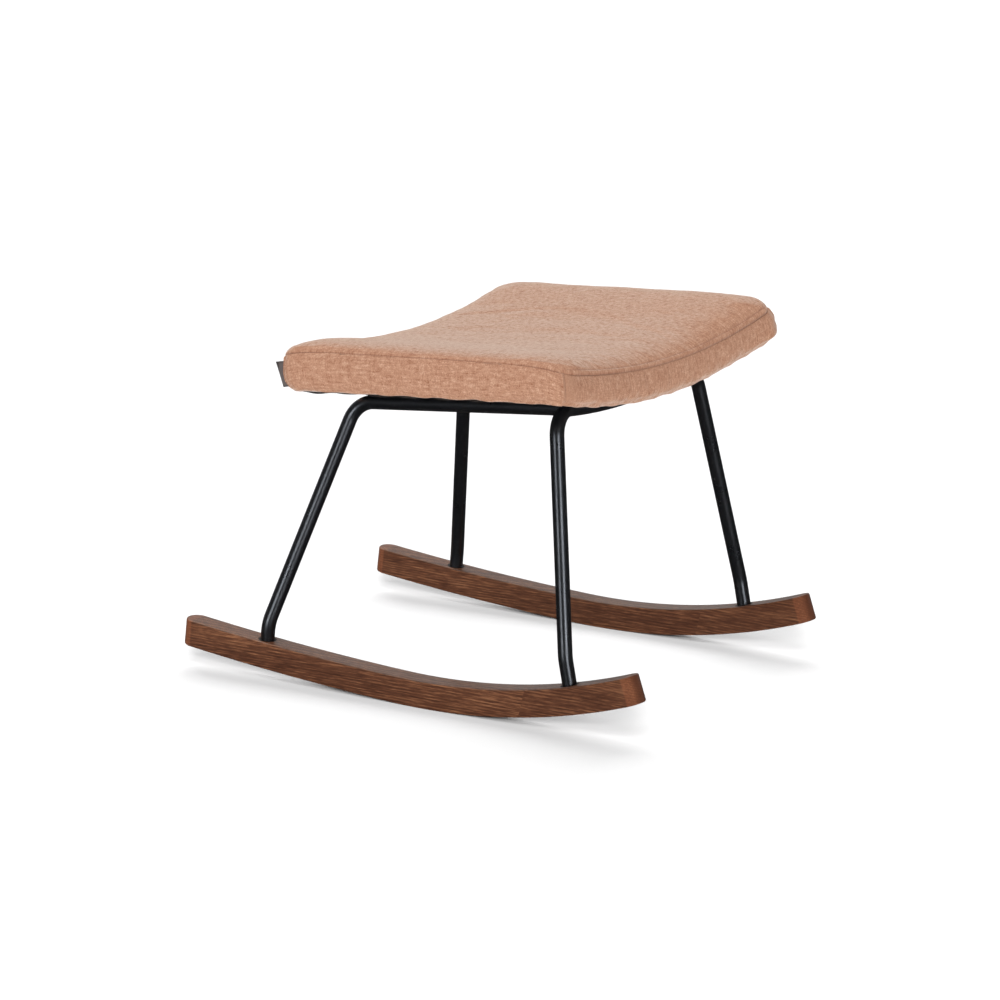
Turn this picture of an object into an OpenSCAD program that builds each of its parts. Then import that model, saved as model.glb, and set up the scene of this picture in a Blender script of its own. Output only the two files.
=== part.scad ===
// Rocking footstool: a dished upholstered seat on a bent tube frame that
// stands on two curved wooden rockers.
// Frame: X runs across the rockers, -Y is the front, +Z is up. The origin is on
// the floor, under the middle of the rockers.

/* [Rockers] */
// Distance between the middles of the two rockers
rocker_spacing = 396; // [340:1:440]
// Thickness of a rocker, seen from above
rocker_w = 28; // [26:1:36]
// Depth of a rocker, seen from the side
rocker_h = 31; // [29:0.5:40]
// Width of the chamfer along a rocker's edges
rocker_chamfer = 1.6; // [0.8:0.1:3]
// Radius of the underside from the front end to just behind the floor contact
front_arc_r = 800; // [700:10:1000]
// Radius of the flatter underside behind it
tail_arc_r = 3900; // [3000:50:6000]
// Length along the underside from the floor contact to where the flatter part starts
tail_start = 38; // [20:1:60]
// Length along the underside from the floor contact to the middle of the front round end
rocker_front_len = 262; // [240:1:300]
// Length along the underside from the floor contact to the middle of the back round end
rocker_tail_len = 319; // [290:1:360]
// Length of the flat spot on which a rocker stands at rest
rest_flat = 14; // [8:1:20]

/* [Tube frame] */
// Outside diameter of the frame tubes
tube_d = 16; // [14:0.5:18]
// Wall of the frame tubes
tube_wall = 1.5; // [1:0.1:2]
// Length along the underside from the floor contact forward to the front legs
front_leg_at = 187; // [170:1:210]
// Length along the underside from the floor contact back to the back legs
back_leg_at = 222; // [200:1:240]
// Straight length of a front leg above the rocker, up to its first bend
front_stub = 26; // [22:1:34]
// Straight length of a back leg above the rocker, up to its first bend
back_stub = 18; // [14:1:26]
// Bend radius at the top of the legs, to the middle of the tube
bend_r = 30; // [24:1:34]
// Bend radius low on the legs, to the middle of the tube
low_bend_r = 44; // [30:1:60]
// How far the upper corners of the front legs lie inside the side edges of the seat board
front_top_in = 75; // [63:1:87]
// How far the upper corners of the back legs lie inside the side edges of the seat board
back_top_in = 114.5; // [103:0.5:122]
// How far the cross tube lies inside the front edge of the seat board
cross_in = 55.5; // [46:0.5:66]
// How far the upper corners of the back legs lie inside the back edge of the seat board
corner_in = 10.5; // [1:0.5:17]
// How far the middle of the rear strap lies inside the back edge of the seat board
strap_in = 42.5; // [36:0.5:52]
// Width of the rear strap
strap_w = 25; // [20:1:30]
// Thickness of the rear strap
strap_t = 4; // [3:0.5:6]
// Thickness of the two front tabs
tab_t = 3; // [2:0.5:4]
// Length of a front tab along its rail
tab_l = 30; // [26:1:36]
// How far a front tab reaches inward from the middle of its rail
tab_reach = 34; // [32:1:40]
// How far the front tabs lie inside the front edge of the seat board
tab_in = 98.5; // [92:0.5:106]

/* [Leg fastening] */
// Depth of the hole in a rocker that takes a leg
socket_depth = 16; // [12:0.5:17]
// Wall of the black sleeve round the foot of a leg
sleeve_wall = 2; // [1.5:0.1:2.5]
// Clearance between the sleeve and what it touches
sleeve_gap = 0.1; // [0.05:0.05:0.2]
// Length of the threaded insert in the foot of a leg
insert_l = 14; // [12:1:20]
// Diameter of the screws
screw_d = 6; // [5:0.5:6]
// Clearance round a screw in the hole that it passes through
screw_gap = 0.3; // [0.2:0.05:0.5]
// Clearance round a screw in its thread
thread_gap = 0.1; // [0.05:0.05:0.15]
// Diameter of a screw's head
head_d = 11; // [9:0.5:12]
// Height of a screw's head
head_h = 3.6; // [3:0.1:4]
// Depth of the counterbore under a rocker
counterbore_depth = 5; // [4.5:0.5:6]
// Length of the screws under the rockers
rocker_screw_l = 20; // [16:1:22]

/* [Seat board] */
// Width of the plywood seat board, across the rockers
board_w = 455; // [430:1:480]
// Length of the plywood seat board, from front to back
board_l = 351; // [340:1:365]
// Thickness of the seat board
board_t = 12; // [10:0.5:15]
// Corner radius of the seat board
board_corner_r = 17; // [12:1:24]
// Radius of the dish of the seat board's underside
dish_r = 1040; // [900:10:1300]
// Height of the middle of the board's underside above the floor
seat_height = 330.5; // [312:0.1:346]
// Backward tilt of the seat, in degrees
seat_tilt = 3.8; // [2.6:0.1:5]
// How far the middle of the seat lies in front of the floor contact
seat_forward = 12.6; // [4:0.1:20]
// Width of the tee nuts' flanges
tee_flange_d = 18; // [14:0.5:20]
// Thickness of the tee nuts' flanges
tee_flange_t = 1.4; // [1:0.1:1.8]
// Length of the tee nuts' barrels
tee_barrel_l = 8; // [6:0.5:8.5]
// Length of the screws that hold the seat
seat_screw_l = 16; // [14:1:17]

/* [Cushion] */
// Thickness of the woven cover
fabric_t = 1.2; // [0.8:0.1:1.6]
// Height of the top seam above the board's underside, at the middle of the seat
side_h = 35.3; // [30:0.1:46]
// How much lower the top seam runs at the two raised edges
side_drop = 4.8; // [0:0.1:6]
// How much the top seam rises from the middle of the seat to its back
side_back_rise = 3; // [0:0.1:8]
// How much the top seam bows up between the corners of the raised edges
side_bow = 8.6; // [0:0.1:10]
// How far the sides swell out past the foot of the cushion
side_swell = 10.4; // [4:0.2:12]
// How far the padding hangs below the board at its front corners
side_sag = 5; // [0:0.2:6]
// Height of the crown above the top seam, at the middle of the seat
crown_h = 24.4; // [14:0.5:28]
// How much the crown rises from the middle of the seat to its back
crown_back_rise = 5.2; // [0:0.1:8]
// How much lower the crown is at the two raised edges
crown_drop = 3.8; // [0:0.1:6]
// Diameter of the ridge along the top seam
welt_d = 4.6; // [3:0.2:6]
// Width of the cover's hem under the board
hem_w = 26; // [18:1:34]
// Thickness of the dust cover under the board
dust_t = 0.5; // [0.4:0.1:0.8]
// How far the dust cover stays inside the edge of the board
dust_inset = 9; // [6:1:14]
// Gap between a soft piece and its neighbour
soft_gap = 0.3; // [0.25:0.05:0.4]

/* [Label tab and staples] */
// Length of the label tab that shows outside the seam
tab_out = 8.5; // [5:0.5:12]
// Height of the label tab
label_h = 29; // [20:1:32]
// Thickness of the folded label tab
label_t = 1.4; // [0.8:0.1:2]
// Length of a staple's back
staple_l = 10; // [8:0.5:12]
// Width of a staple's wire
staple_w = 1.2; // [0.8:0.1:1.6]
// Thickness of a staple's wire
staple_t = 0.6; // [0.4:0.1:0.8]
// Distance between staples
staple_pitch = 42; // [30:1:60]

/* [Hidden] */

wood_brown = [0.36, 0.20, 0.14];
powder_black = [0.10, 0.10, 0.11];
steel_grey = [0.62, 0.63, 0.65];
ply_tan = [0.76, 0.62, 0.44];
foam_cream = [0.90, 0.86, 0.72];
cloth_rust = [0.72, 0.42, 0.33];
cloth_black = [0.09, 0.09, 0.09];
label_grey = [0.62, 0.60, 0.58];

// Overrun of every cut
over = 1;
// Facets of round pieces
round_n = 48;
fine_n = 96;
// Sides of the frame tubes, outside and inside
tube_n = 20;
tube_in_n = 12;
// Segments of a low bend, of a top bend and of the cross tube's arc
low_bend_n = 4;
top_bend_n = 9;
cross_n = 14;
// Segments along the front and the back of a rocker, and round half of its end
front_n = 18;
turn_n = 2;
tail_n = 10;
nose_n = 6;
// How near the last segment comes to the tip of a rocker's end, as a share
nose_share = 0.97;
// Gap between the edge of a front tab and its rail, which the weld fills
weld_gap = 0.3;
// Gap between the dust cover and the steel under it
dust_gap = 0.1;
// Straight tube beside a top bend, as a share of its radius
run_share = 1.15;
// Depth of the hexagonal socket in a screw's head, and its size, as shares
socket_h_share = 0.55;
socket_d_share = 0.42;
// Wall of a tee nut's barrel
tee_wall = 0.85;
// How far a rear screw stands from the middle of the seat, as a share of the strap's half length
strap_screw_share = 0.68;
// How far a front screw stands from its rail, as a share of the tab's reach
tab_screw_share = 0.68;

// Shape of the cushion's side: height as a share of the seam's height,
// swell as a share of side_swell
side_h_shares = [0.03, 0.12, 0.27, 0.46, 0.66, 0.84, 1];
side_o_shares = [0.1, 0.42, 0.76, 0.97, 1, 0.84, 0.5];
// The hanging edge below it, from the foot of the side to the board, as shares
// of side_swell and of side_sag
sag_o_shares = [-0.1, -0.45];
sag_h_shares = [1, 0.7];
// How far it hangs in the middle of the front, as a share of side_sag
front_sag_share = 0.4;
// Inner corner radius of the hem, as a share of the board's corner radius
hem_corner_share = 0.3;
// Length of the label tab at its foot, as a share of its length at the top
tab_foot_share = 0.55;
// Rings of the crown, as shares of the way from the middle to the seam
crown_shares = [1, 0.985, 0.96, 0.925, 0.87, 0.76, 0.56, 0.3];
// Rings of the foam's underside
under_shares = [0.8, 0.5, 0.25];
// How square the crown is, and how soon it rolls over
crown_square_share = 11;
crown_roll_share = 0.6;
// Segments of the cushion's outline along X, along Y and round a corner
side_nx = 12;
side_ny = 8;
corner_n = 4;
welt_n = 8;

// Rockers: a point on the underside at length s from the floor contact, positive
// towards the back, as a height and a place along Y, measured from the contact point.
tail_a = tail_start / front_arc_r * 180 / PI;
function rocker_angle(s) = s <= tail_start
    ? s / front_arc_r * 180 / PI
    : tail_a + (s - tail_start) / tail_arc_r * 180 / PI;
tail_cy = -(tail_arc_r - front_arc_r) * sin(tail_a);
tail_cz = front_arc_r + (tail_arc_r - front_arc_r) * cos(tail_a);
rest_z = front_arc_r * (1 - cos(rest_flat / 2 / front_arc_r * 180 / PI));
function rocker_y(s) = s <= tail_start
    ? front_arc_r * sin(rocker_angle(s))
    : tail_cy + tail_arc_r * sin(rocker_angle(s));
function rocker_z(s) = (s <= tail_start
    ? front_arc_r * (1 - cos(rocker_angle(s)))
    : tail_cz - tail_arc_r * cos(rocker_angle(s))) - rest_z;
// A point on a rocker: push along it past length s, and h up from its underside
function rocker_yz(s, push, h) = let (a = rocker_angle(s))
    [rocker_y(s) + push * cos(a) - h * sin(a), rocker_z(s) + push * sin(a) + h * cos(a)];
// The ends of the rockers decide where the floor contact lies, so that the
// origin stays under their middle.
nose_push = rocker_w / 2 * sin(90 * nose_share);
front_end_y = rocker_yz(-rocker_front_len, -nose_push, rocker_chamfer)[0];
back_end_y = rocker_yz(rocker_tail_len, nose_push, rocker_chamfer)[0];
contact_y = -(front_end_y + back_end_y) / 2;

// A point on the top of a rocker at length s, and the direction square to it.
function rocker_top(s) = let (p = rocker_yz(s, 0, rocker_h)) [0, contact_y + p[0], p[1]];
function rocker_up(s) = [0, -sin(rocker_angle(s)), cos(rocker_angle(s))];

// Seat frame: its origin is the middle of the board's underside.
seat_y = contact_y - seat_forward;
function from_seat(p) = [p.x,
    seat_y + p.y * cos(seat_tilt) + p.z * sin(seat_tilt),
    seat_height - p.y * sin(seat_tilt) + p.z * cos(seat_tilt)];
// A point at x, y in the seat frame, h above the dished underside of the board.
function dish(x, y, h) = [x, y, dish_r - sqrt(pow(dish_r - h, 2) - x * x)];
// Slope of the dish at x
function dish_slope(x) = asin(x / dish_r);

// What lies between the board and the steel under it
under_stack = soft_gap + fabric_t + dust_gap + dust_t + dust_gap;
dust_top = soft_gap + fabric_t + dust_gap;

// Places of the steel under the board, from the middle of the board
front_top_spacing = board_w - 2 * front_top_in;
back_top_spacing = board_w - 2 * back_top_in;
cross_forward = board_l / 2 - cross_in;
corner_back = board_l / 2 - corner_in;
strap_back = board_l / 2 - strap_in;
tab_forward = board_l / 2 - tab_in;

// Cross tube: an arc about the same centre as the dish.
cross_r = dish_r + under_stack + tube_d / 2;
elbow_run = run_share * bend_r;
cross_a = asin((front_top_spacing / 2 - elbow_run) / cross_r);
cross_end = [cross_r * sin(cross_a), -cross_forward, dish_r - cross_r * cos(cross_a)];
front_corner = cross_end + elbow_run / cos(cross_a) * [cos(cross_a), 0, sin(cross_a)];

// Side rails: they meet the cross tube at the end of its arc, pass just under the
// rear strap, and turn down at the back corners.
rail_span = corner_back + cross_forward;
strap_share = (strap_back - strap_w / 2 + cross_forward) / rail_span;
strap_rail_x = cross_end.x + (back_top_spacing / 2 - cross_end.x) * strap_share;
strap_rail_z = dish(strap_rail_x, 0, -under_stack - strap_t - tube_d / 2).z;
back_corner = [back_top_spacing / 2, corner_back,
    cross_end.z + (strap_rail_z - cross_end.z) / strap_share];
function on_rail(v) = cross_end + (back_corner - cross_end) * (v + cross_forward) / rail_span;

// The feet of the legs and the first bends above them, on the right-hand side
half_gap = rocker_spacing / 2;
function leg_point(s, h) = [half_gap, 0, 0] + rocker_top(s) + h * rocker_up(s);
front_foot = leg_point(-front_leg_at, -socket_depth);
front_knee = leg_point(-front_leg_at, front_stub);
back_foot = leg_point(back_leg_at, -socket_depth);
back_knee = leg_point(back_leg_at, back_stub);

tube_in = tube_d - 2 * tube_wall;
function unit(v) = v / norm(v);
function flip(p, side) = [side * p.x, p.y, p.z];
// A bend of radius r at corner b, between the runs from a and to c, as points with
// their directions
function bend(a, b, c, r, n) =
    let (u = unit(b - a), v = unit(c - b), turn = acos(u * v), m = unit(v - u * (u * v)),
        o = b - u * r * tan(turn / 2) + m * r)
        [for (i = [0 : n])
            let (t = turn * i / n)
                [o - m * r * cos(t) + u * r * sin(t), u * cos(t) + m * sin(t)]];
// A run through four points, bent at the second and the third
function bent_run(p, r1, r2) = concat(
    [[p[0], unit(p[1] - p[0])]],
    bend(p[0], p[1], p[2], r1, low_bend_n),
    bend(p[1], p[2], p[3], r2, top_bend_n));

// Ring of n points about a place on a run, square to its direction
function ring(p, t, ref, r, n) =
    let (e = unit(cross(t, ref)), f = cross(t, e))
        [for (i = [0 : n - 1]) p + r * (e * cos(360 * i / n) + f * sin(360 * i / n))];

// Triangles of the end of a tube, between its outer and its inner ring
function end_faces(a, na, b, nb, flip) = concat(
    [for (i = [0 : na - 1])
        let (j = floor((i + 0.5) * nb / na) % nb, f = [a + i, a + (i + 1) % na, b + j])
            flip ? [f.x, f.z, f.y] : f],
    [for (j = [0 : nb - 1])
        let (k = ceil((j + 1) * na / nb - 0.5) % na, f = [b + j, a + k, b + (j + 1) % nb])
            flip ? [f.x, f.z, f.y] : f]);

// The inner facets lie at the true inner radius, so that what fits in is clear of them
tube_in_r = tube_in / 2 / cos(180 / tube_in_n);
// Rings along a run; the end has its own ring
function rings_along(run, ref, r, n, end) = concat(
    [for (i = [0 : len(run) - 2]) each ring(run[i][0], run[i][1], ref, r, n)], end);

// A hollow tube along a run, with the outer and the inner ring of its far end
module tube(run, ref, end_out, end_in) {
    n = len(run);
    b = n * tube_n;
    outside = [for (f = skin_faces(n, tube_n, false)) [f.x, f.z, f.y]];
    inside = [for (f = skin_faces(n, tube_in_n, false)) [b + f.x, b + f.y, b + f.z]];
    polyhedron(
        points = concat(
            rings_along(run, ref, tube_d / 2, tube_n, end_out),
            rings_along(run, ref, tube_in_r, tube_in_n, end_in)),
        faces = concat(outside, inside,
            end_faces(0, tube_n, b, tube_in_n, false),
            end_faces((n - 1) * tube_n, tube_n, b + (n - 1) * tube_in_n, tube_in_n, true)),
        convexity = 6);
}

module on_seat() {
    translate([0, seat_y, seat_height])
        rotate([-seat_tilt, 0, 0])
            children();
}

// Places its children on the board's underside at x, y, square to it
module on_dish(x, y) {
    on_seat()
        translate(dish(x, y, 0))
            rotate([0, -dish_slope(x), 0])
                children();
}

// Places its children on the top of a rocker at length s, with Z up along the leg
module on_rocker(side, s) {
    translate([side * half_gap, 0, 0] + rocker_top(s))
        rotate([rocker_angle(s), 0, 0])
            children();
}

module at_all_legs() {
    for (side = [-1, 1])
        for (s = [-front_leg_at, back_leg_at])
            on_rocker(side, s)
                children();
}

// Section of a rocker as eight points [x share, h]: x is a share of the half width at
// the chamfered edge or at the side, given as 0 and 1
section_sides = [0, 1, 1, 0, 0, 1, 1, 0];
section_signs = [1, 1, 1, 1, -1, -1, -1, -1];
section_h = [0, rocker_chamfer, rocker_h - rocker_chamfer, rocker_h,
    rocker_h, rocker_h - rocker_chamfer, rocker_chamfer, 0];
// One ring of points: at length s, turned t degrees round the rounded end
function rocker_ring(s, t, dir) = [
    for (i = [0 : 7])
        let (r = rocker_w / 2 - (1 - section_sides[i]) * rocker_chamfer,
            p = rocker_yz(s, dir * r * sin(t), section_h[i]))
            [section_signs[i] * r * cos(t), contact_y + p[0], p[1]]];
rocker_lengths = concat(
    [for (i = [0 : front_n]) -rocker_front_len + (rocker_front_len - rest_flat / 2) * i / front_n],
    [for (i = [0 : turn_n - 1]) rest_flat / 2 + (tail_start - rest_flat / 2) * i / turn_n],
    [for (i = [0 : tail_n]) tail_start + (rocker_tail_len - tail_start) * i / tail_n]);
rocker_points = concat(
    [for (i = [nose_n : -1 : 1]) each rocker_ring(-rocker_front_len, 90 * nose_share * i / nose_n, -1)],
    [for (s = rocker_lengths) each rocker_ring(s, 0, 1)],
    [for (i = [1 : nose_n]) each rocker_ring(rocker_tail_len, 90 * nose_share * i / nose_n, 1)]);

module rocker_blank() {
    rows = len(rocker_points) / 8;
    last = (rows - 1) * 8;
    caps = [for (i = [1 : 6]) each [[0, i, i + 1], [last, last + i + 1, last + i]]];
    polyhedron(points = rocker_points, faces = concat(skin_faces(rows, 8, false), caps), convexity = 4);
}

sleeve_d = tube_d + 2 * sleeve_gap + 2 * sleeve_wall;
bore_d = sleeve_d + 2 * sleeve_gap;
pass_d = screw_d + 2 * screw_gap;
counterbore_d = head_d + 4 * screw_gap;

module rocker(side) {
    difference() {
        translate([side * half_gap, 0, 0])
            rocker_blank();
        for (s = [-front_leg_at, back_leg_at])
            on_rocker(side, s) {
                translate([0, 0, -socket_depth])
                    cylinder(d = bore_d, h = socket_depth + over, $fn = round_n);
                translate([0, 0, -rocker_h - over])
                    cylinder(d = pass_d, h = rocker_h, $fn = round_n);
                translate([0, 0, -rocker_h - over])
                    cylinder(d = counterbore_d, h = counterbore_depth + over, $fn = round_n);
            }
    }
}

module rocker_left() {
    color(wood_brown) rocker(-1);
}

module rocker_right() {
    color(wood_brown) rocker(1);
}

module leg_sleeves() {
    color(powder_black)
        at_all_legs()
            translate([0, 0, -socket_depth])
                difference() {
                    cylinder(d = sleeve_d, h = socket_depth, $fn = round_n);
                    translate([0, 0, -over])
                        cylinder(d = tube_d + 2 * sleeve_gap, h = socket_depth + 2 * over, $fn = round_n);
                }
}

module leg_inserts() {
    color(steel_grey)
        at_all_legs()
            translate([0, 0, -socket_depth])
                difference() {
                    cylinder(d = tube_in, h = insert_l, $fn = round_n);
                    translate([0, 0, -over])
                        cylinder(d = screw_d + 2 * thread_gap, h = insert_l + 2 * over, $fn = round_n);
                }
}

// A screw with its head's seat at z = 0 and its shank up along +Z
module screw(l) {
    cylinder(d = screw_d, h = l, $fn = round_n);
    difference() {
        translate([0, 0, -head_h])
            cylinder(d1 = head_d - head_h, d2 = head_d, h = head_h, $fn = round_n);
        translate([0, 0, -head_h - over])
            cylinder(d = head_d * socket_d_share, h = head_h * socket_h_share + over, $fn = 6);
    }
}

module rocker_screws() {
    color(steel_grey)
        at_all_legs()
            translate([0, 0, counterbore_depth - rocker_h])
                screw(rocker_screw_l);
}

// Right half of the front frame: from the foot to the end of the top bend
front_half = bent_run([front_foot, front_knee, from_seat(front_corner), from_seat(cross_end)],
    low_bend_r, bend_r);
function seat_dir(v) = from_seat(v) - from_seat([0, 0, 0]);
// The arc of the cross tube, from right to left
cross_run = [for (i = [0 : cross_n])
    let (a = cross_a * (1 - 2 * i / cross_n))
        [from_seat([cross_r * sin(a), -cross_forward, dish_r - cross_r * cos(a)]),
            seat_dir([-cos(a), 0, -sin(a)])]];
front_run = concat(front_half, cross_run,
    [for (i = [len(front_half) - 1 : -1 : 0])
        [flip(front_half[i][0], -1), flip(-front_half[i][1], -1)]]);

module front_frame() {
    ref = [0, 1, 0];
    end = front_run[len(front_run) - 1];
    color(powder_black)
        tube(front_run, ref, ring(end[0], end[1], ref, tube_d / 2, tube_n),
            ring(end[0], end[1], ref, tube_in_r, tube_in_n));
}

// A back leg and its rail, from the foot to the cross tube, on the right-hand side
back_points = [back_foot, back_knee, from_seat(back_corner), from_seat(cross_end)];
rail_dir = unit(back_points[3] - back_points[2]);
back_run = concat(bent_run(back_points, low_bend_r, bend_r), [[back_points[3], rail_dir]]);
cross_dir = seat_dir([cos(cross_a), 0, sin(cross_a)]);
// The rail's end is coped: each point q of its last ring slides back along the rail to the
// round of the cross tube
function cope(q) =
    let (m = q - back_points[3], mm = m - cross_dir * (m * cross_dir),
        tt = rail_dir - cross_dir * (rail_dir * cross_dir), b = mm * tt, a = tt * tt)
        q + rail_dir * (-b - sqrt(max(0, b * b - a * (mm * mm - pow(tube_d / 2, 2))))) / a;

module back_leg(side) {
    ref = [1, 0, 0];
    mirror([side < 0 ? 1 : 0, 0, 0])
        tube(back_run, ref,
            [for (q = ring(back_points[3], rail_dir, ref, tube_d / 2, tube_n)) cope(q)],
            [for (q = ring(back_points[3], rail_dir, ref, tube_in_r, tube_in_n)) cope(q)]);
}

module back_leg_left() {
    color(powder_black) back_leg(-1);
}

module back_leg_right() {
    color(powder_black) back_leg(1);
}

strap_half = strap_rail_x + tube_d / 2;
strap_a = asin(strap_half / dish_r);
strap_screw_x = strap_half * strap_screw_share;
tab_rail = on_rail(-tab_forward);
tab_screw_x = tab_rail.x - tab_reach * tab_screw_share;
// The middle of the rail as seen from the foot of the tab's screw, along the board and square to it
tab_slope = dish_slope(tab_screw_x);
tab_rel = tab_rail - dish(tab_screw_x, -tab_forward, 0);
tab_rail_l = tab_rel.x * cos(tab_slope) + tab_rel.z * sin(tab_slope);
tab_rail_h = tab_rel.z * cos(tab_slope) - tab_rel.x * sin(tab_slope);
tab_edge = tab_rail_l - weld_gap
    - sqrt(max(0, pow(tube_d / 2, 2) - pow(max(0, -under_stack - tab_t - tab_rail_h), 2)));
tab_inner = tab_rail_l - tab_reach;

module screw_hole(depth) {
    translate([0, 0, -depth - over])
        cylinder(d = pass_d, h = depth + 2 * over, $fn = round_n);
}

module rear_strap() {
    color(powder_black)
        difference() {
            on_seat()
                translate([0, strap_back + strap_w / 2, dish_r])
                    rotate([90, 0, 0])
                        rotate([0, 0, 270 - strap_a])
                            rotate_extrude(angle = 2 * strap_a, $fn = 4 * fine_n)
                                translate([dish_r + under_stack, 0])
                                    square([strap_t, strap_w]);
            for (side = [-1, 1])
                on_dish(side * strap_screw_x, strap_back)
                    screw_hole(under_stack + strap_t);
        }
}

module front_tabs() {
    color(powder_black)
        for (side = [-1, 1])
            on_dish(side * tab_screw_x, -tab_forward)
                difference() {
                    translate([side > 0 ? tab_inner : -tab_edge, -tab_l / 2, -under_stack - tab_t])
                        cube([tab_edge - tab_inner, tab_l, tab_t]);
                    screw_hole(under_stack + tab_t);
                }
}

// Every place where a screw holds the seat: x, y, and the steel under the board there
seat_screw_places = [
    [-strap_screw_x, strap_back, strap_t], [strap_screw_x, strap_back, strap_t],
    [-tab_screw_x, -tab_forward, tab_t], [tab_screw_x, -tab_forward, tab_t]];

module seat_screws() {
    color(steel_grey)
        for (p = seat_screw_places)
            on_dish(p.x, p.y)
                translate([0, 0, -under_stack - p.z])
                    screw(seat_screw_l);
}

tee_d = screw_d + 2 * thread_gap + 2 * tee_wall;

module tee_nuts() {
    color(steel_grey)
        for (p = seat_screw_places)
            on_dish(p.x, p.y)
                translate([0, 0, board_t])
                    difference() {
                        union() {
                            translate([0, 0, -2 * tee_flange_t])
                                cylinder(d = tee_flange_d, h = tee_flange_t, $fn = round_n);
                            translate([0, 0, -2 * tee_flange_t - tee_barrel_l])
                                cylinder(d = tee_d, h = tee_barrel_l + over / 2, $fn = round_n);
                        }
                        translate([0, 0, -board_t])
                            cylinder(d = screw_d + 2 * thread_gap, h = board_t + over, $fn = round_n);
                    }
}

module round_plate(x, y, r, h) {
    linear_extrude(height = h)
        union() {
            square([x - 2 * r, y], center = true);
            square([x, y - 2 * r], center = true);
            for (i = [-1, 1])
                for (j = [-1, 1])
                    translate([i * (x / 2 - r), j * (y / 2 - r)])
                        circle(r = r, $fn = round_n);
        }
}

// A dished sheet between heights h0 and h1 above the board's underside
module dished_sheet(x, y, r, h0, h1) {
    slab_a = asin((x / 2 + over) / (dish_r - h1)) + 1;
    intersection() {
        translate([0, 0, -board_w / 4])
            round_plate(x, y, r, board_w);
        translate([0, y / 2 + over, dish_r])
            rotate([90, 0, 0])
                rotate([0, 0, 270 - slab_a])
                    rotate_extrude(angle = 2 * slab_a, $fn = 4 * fine_n)
                        translate([dish_r - h1, 0])
                            square([h1 - h0, y + 2 * over]);
    }
}

module seat_board() {
    color(ply_tan)
        difference() {
            on_seat()
                dished_sheet(board_w, board_l, board_corner_r, 0, board_t);
            for (p = seat_screw_places)
                on_dish(p.x, p.y) {
                    translate([0, 0, -over])
                        cylinder(d = tee_d + 2 * thread_gap, h = board_t + 2 * over, $fn = round_n);
                    translate([0, 0, board_t - 2 * tee_flange_t])
                        cylinder(d = tee_flange_d + 2 * thread_gap, h = 3 * tee_flange_t, $fn = round_n);
                }
        }
}

module dust_cover() {
    color(cloth_black)
        difference() {
            on_seat()
                dished_sheet(board_w - 2 * dust_inset, board_l - 2 * dust_inset,
                    board_corner_r, -dust_top - dust_t, -dust_top);
            for (p = seat_screw_places)
                on_dish(p.x, p.y)
                    translate([0, 0, -under_stack - over])
                        cylinder(d = pass_d, h = under_stack + 2 * over, $fn = round_n);
        }
}

// Outline of the board as stations [x, y, nx, ny], from the middle of the front left
// corner round to the front, right, back and left, with the outward direction at each
core_x = board_w / 2 - board_corner_r;
core_y = board_l / 2 - board_corner_r;
function corner_stations(sx, sy, a0, n) = [
    for (i = [0 : n - 1])
        let (a = a0 + 90 * i / corner_n)
            [sx * core_x + board_corner_r * cos(a), sy * core_y + board_corner_r * sin(a), cos(a), sin(a)]];
stations = concat(
    corner_stations(-1, -1, 225, corner_n / 2),
    [for (i = [0 : side_nx - 1]) [core_x * (2 * i / side_nx - 1), -board_l / 2, 0, -1]],
    corner_stations(1, -1, 270, corner_n),
    [for (i = [0 : side_ny - 1]) [board_w / 2, core_y * (2 * i / side_ny - 1), 1, 0]],
    corner_stations(1, 1, 0, corner_n),
    [for (i = [0 : side_nx - 1]) [core_x * (1 - 2 * i / side_nx), board_l / 2, 0, 1]],
    corner_stations(-1, 1, 90, corner_n),
    [for (i = [0 : side_ny - 1]) [-board_w / 2, core_y * (1 - 2 * i / side_ny), -1, 0]],
    corner_stations(-1, -1, 180, corner_n / 2));
station_n = len(stations);

// Height of the top seam over x, y
seam_out = soft_gap + fabric_t + side_swell * side_o_shares[6];
seam_x = board_w / 2 + seam_out;
seam_y = board_l / 2 + seam_out;
function seam_h(x, y) = side_h - side_drop * pow(x / seam_x, 2) + side_back_rise * y / seam_y
    + side_bow * (1 - pow(y / seam_y, 6)) * pow(x / seam_x, 4);
// Height of the crown over x, y
function crown_top(x, y) = side_h + crown_h - crown_drop * pow(x / seam_x, 2)
    + crown_back_rise * y / seam_y;

// A point o outside the board's outline at station s, h above the dished underside
function at_station(s, o, h) = dish(s.x + o * s.z, s.y + o * s[3], h);

// The hem's inner edge keeps its own corner radius: station s moves in by hem_w
hem_r = board_corner_r * hem_corner_share;
hem_x_share = (board_w / 2 - hem_w - hem_r) / core_x;
hem_y_share = (board_l / 2 - hem_w - hem_r) / core_y;
function at_hem(s, h) =
    let (x = s.x - board_corner_r * s.z, y = s.y - board_corner_r * s[3],
        straight_x = abs(s.z) == 1, straight_y = abs(s[3]) == 1)
        dish((straight_x ? sign(x) * (board_w / 2 - hem_w - hem_r) : x * hem_x_share) + hem_r * s.z,
            (straight_y ? sign(y) * (board_l / 2 - hem_w - hem_r) : y * hem_y_share) + hem_r * s[3], h);

// How far the edge hangs over x, y: most at the front corners, nothing at the back
function sag_at(x, y) = side_sag * pow((1 - y / seam_y) / 2, 2)
    * (front_sag_share + (1 - front_sag_share) * pow(x / seam_x, 4));

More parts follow.
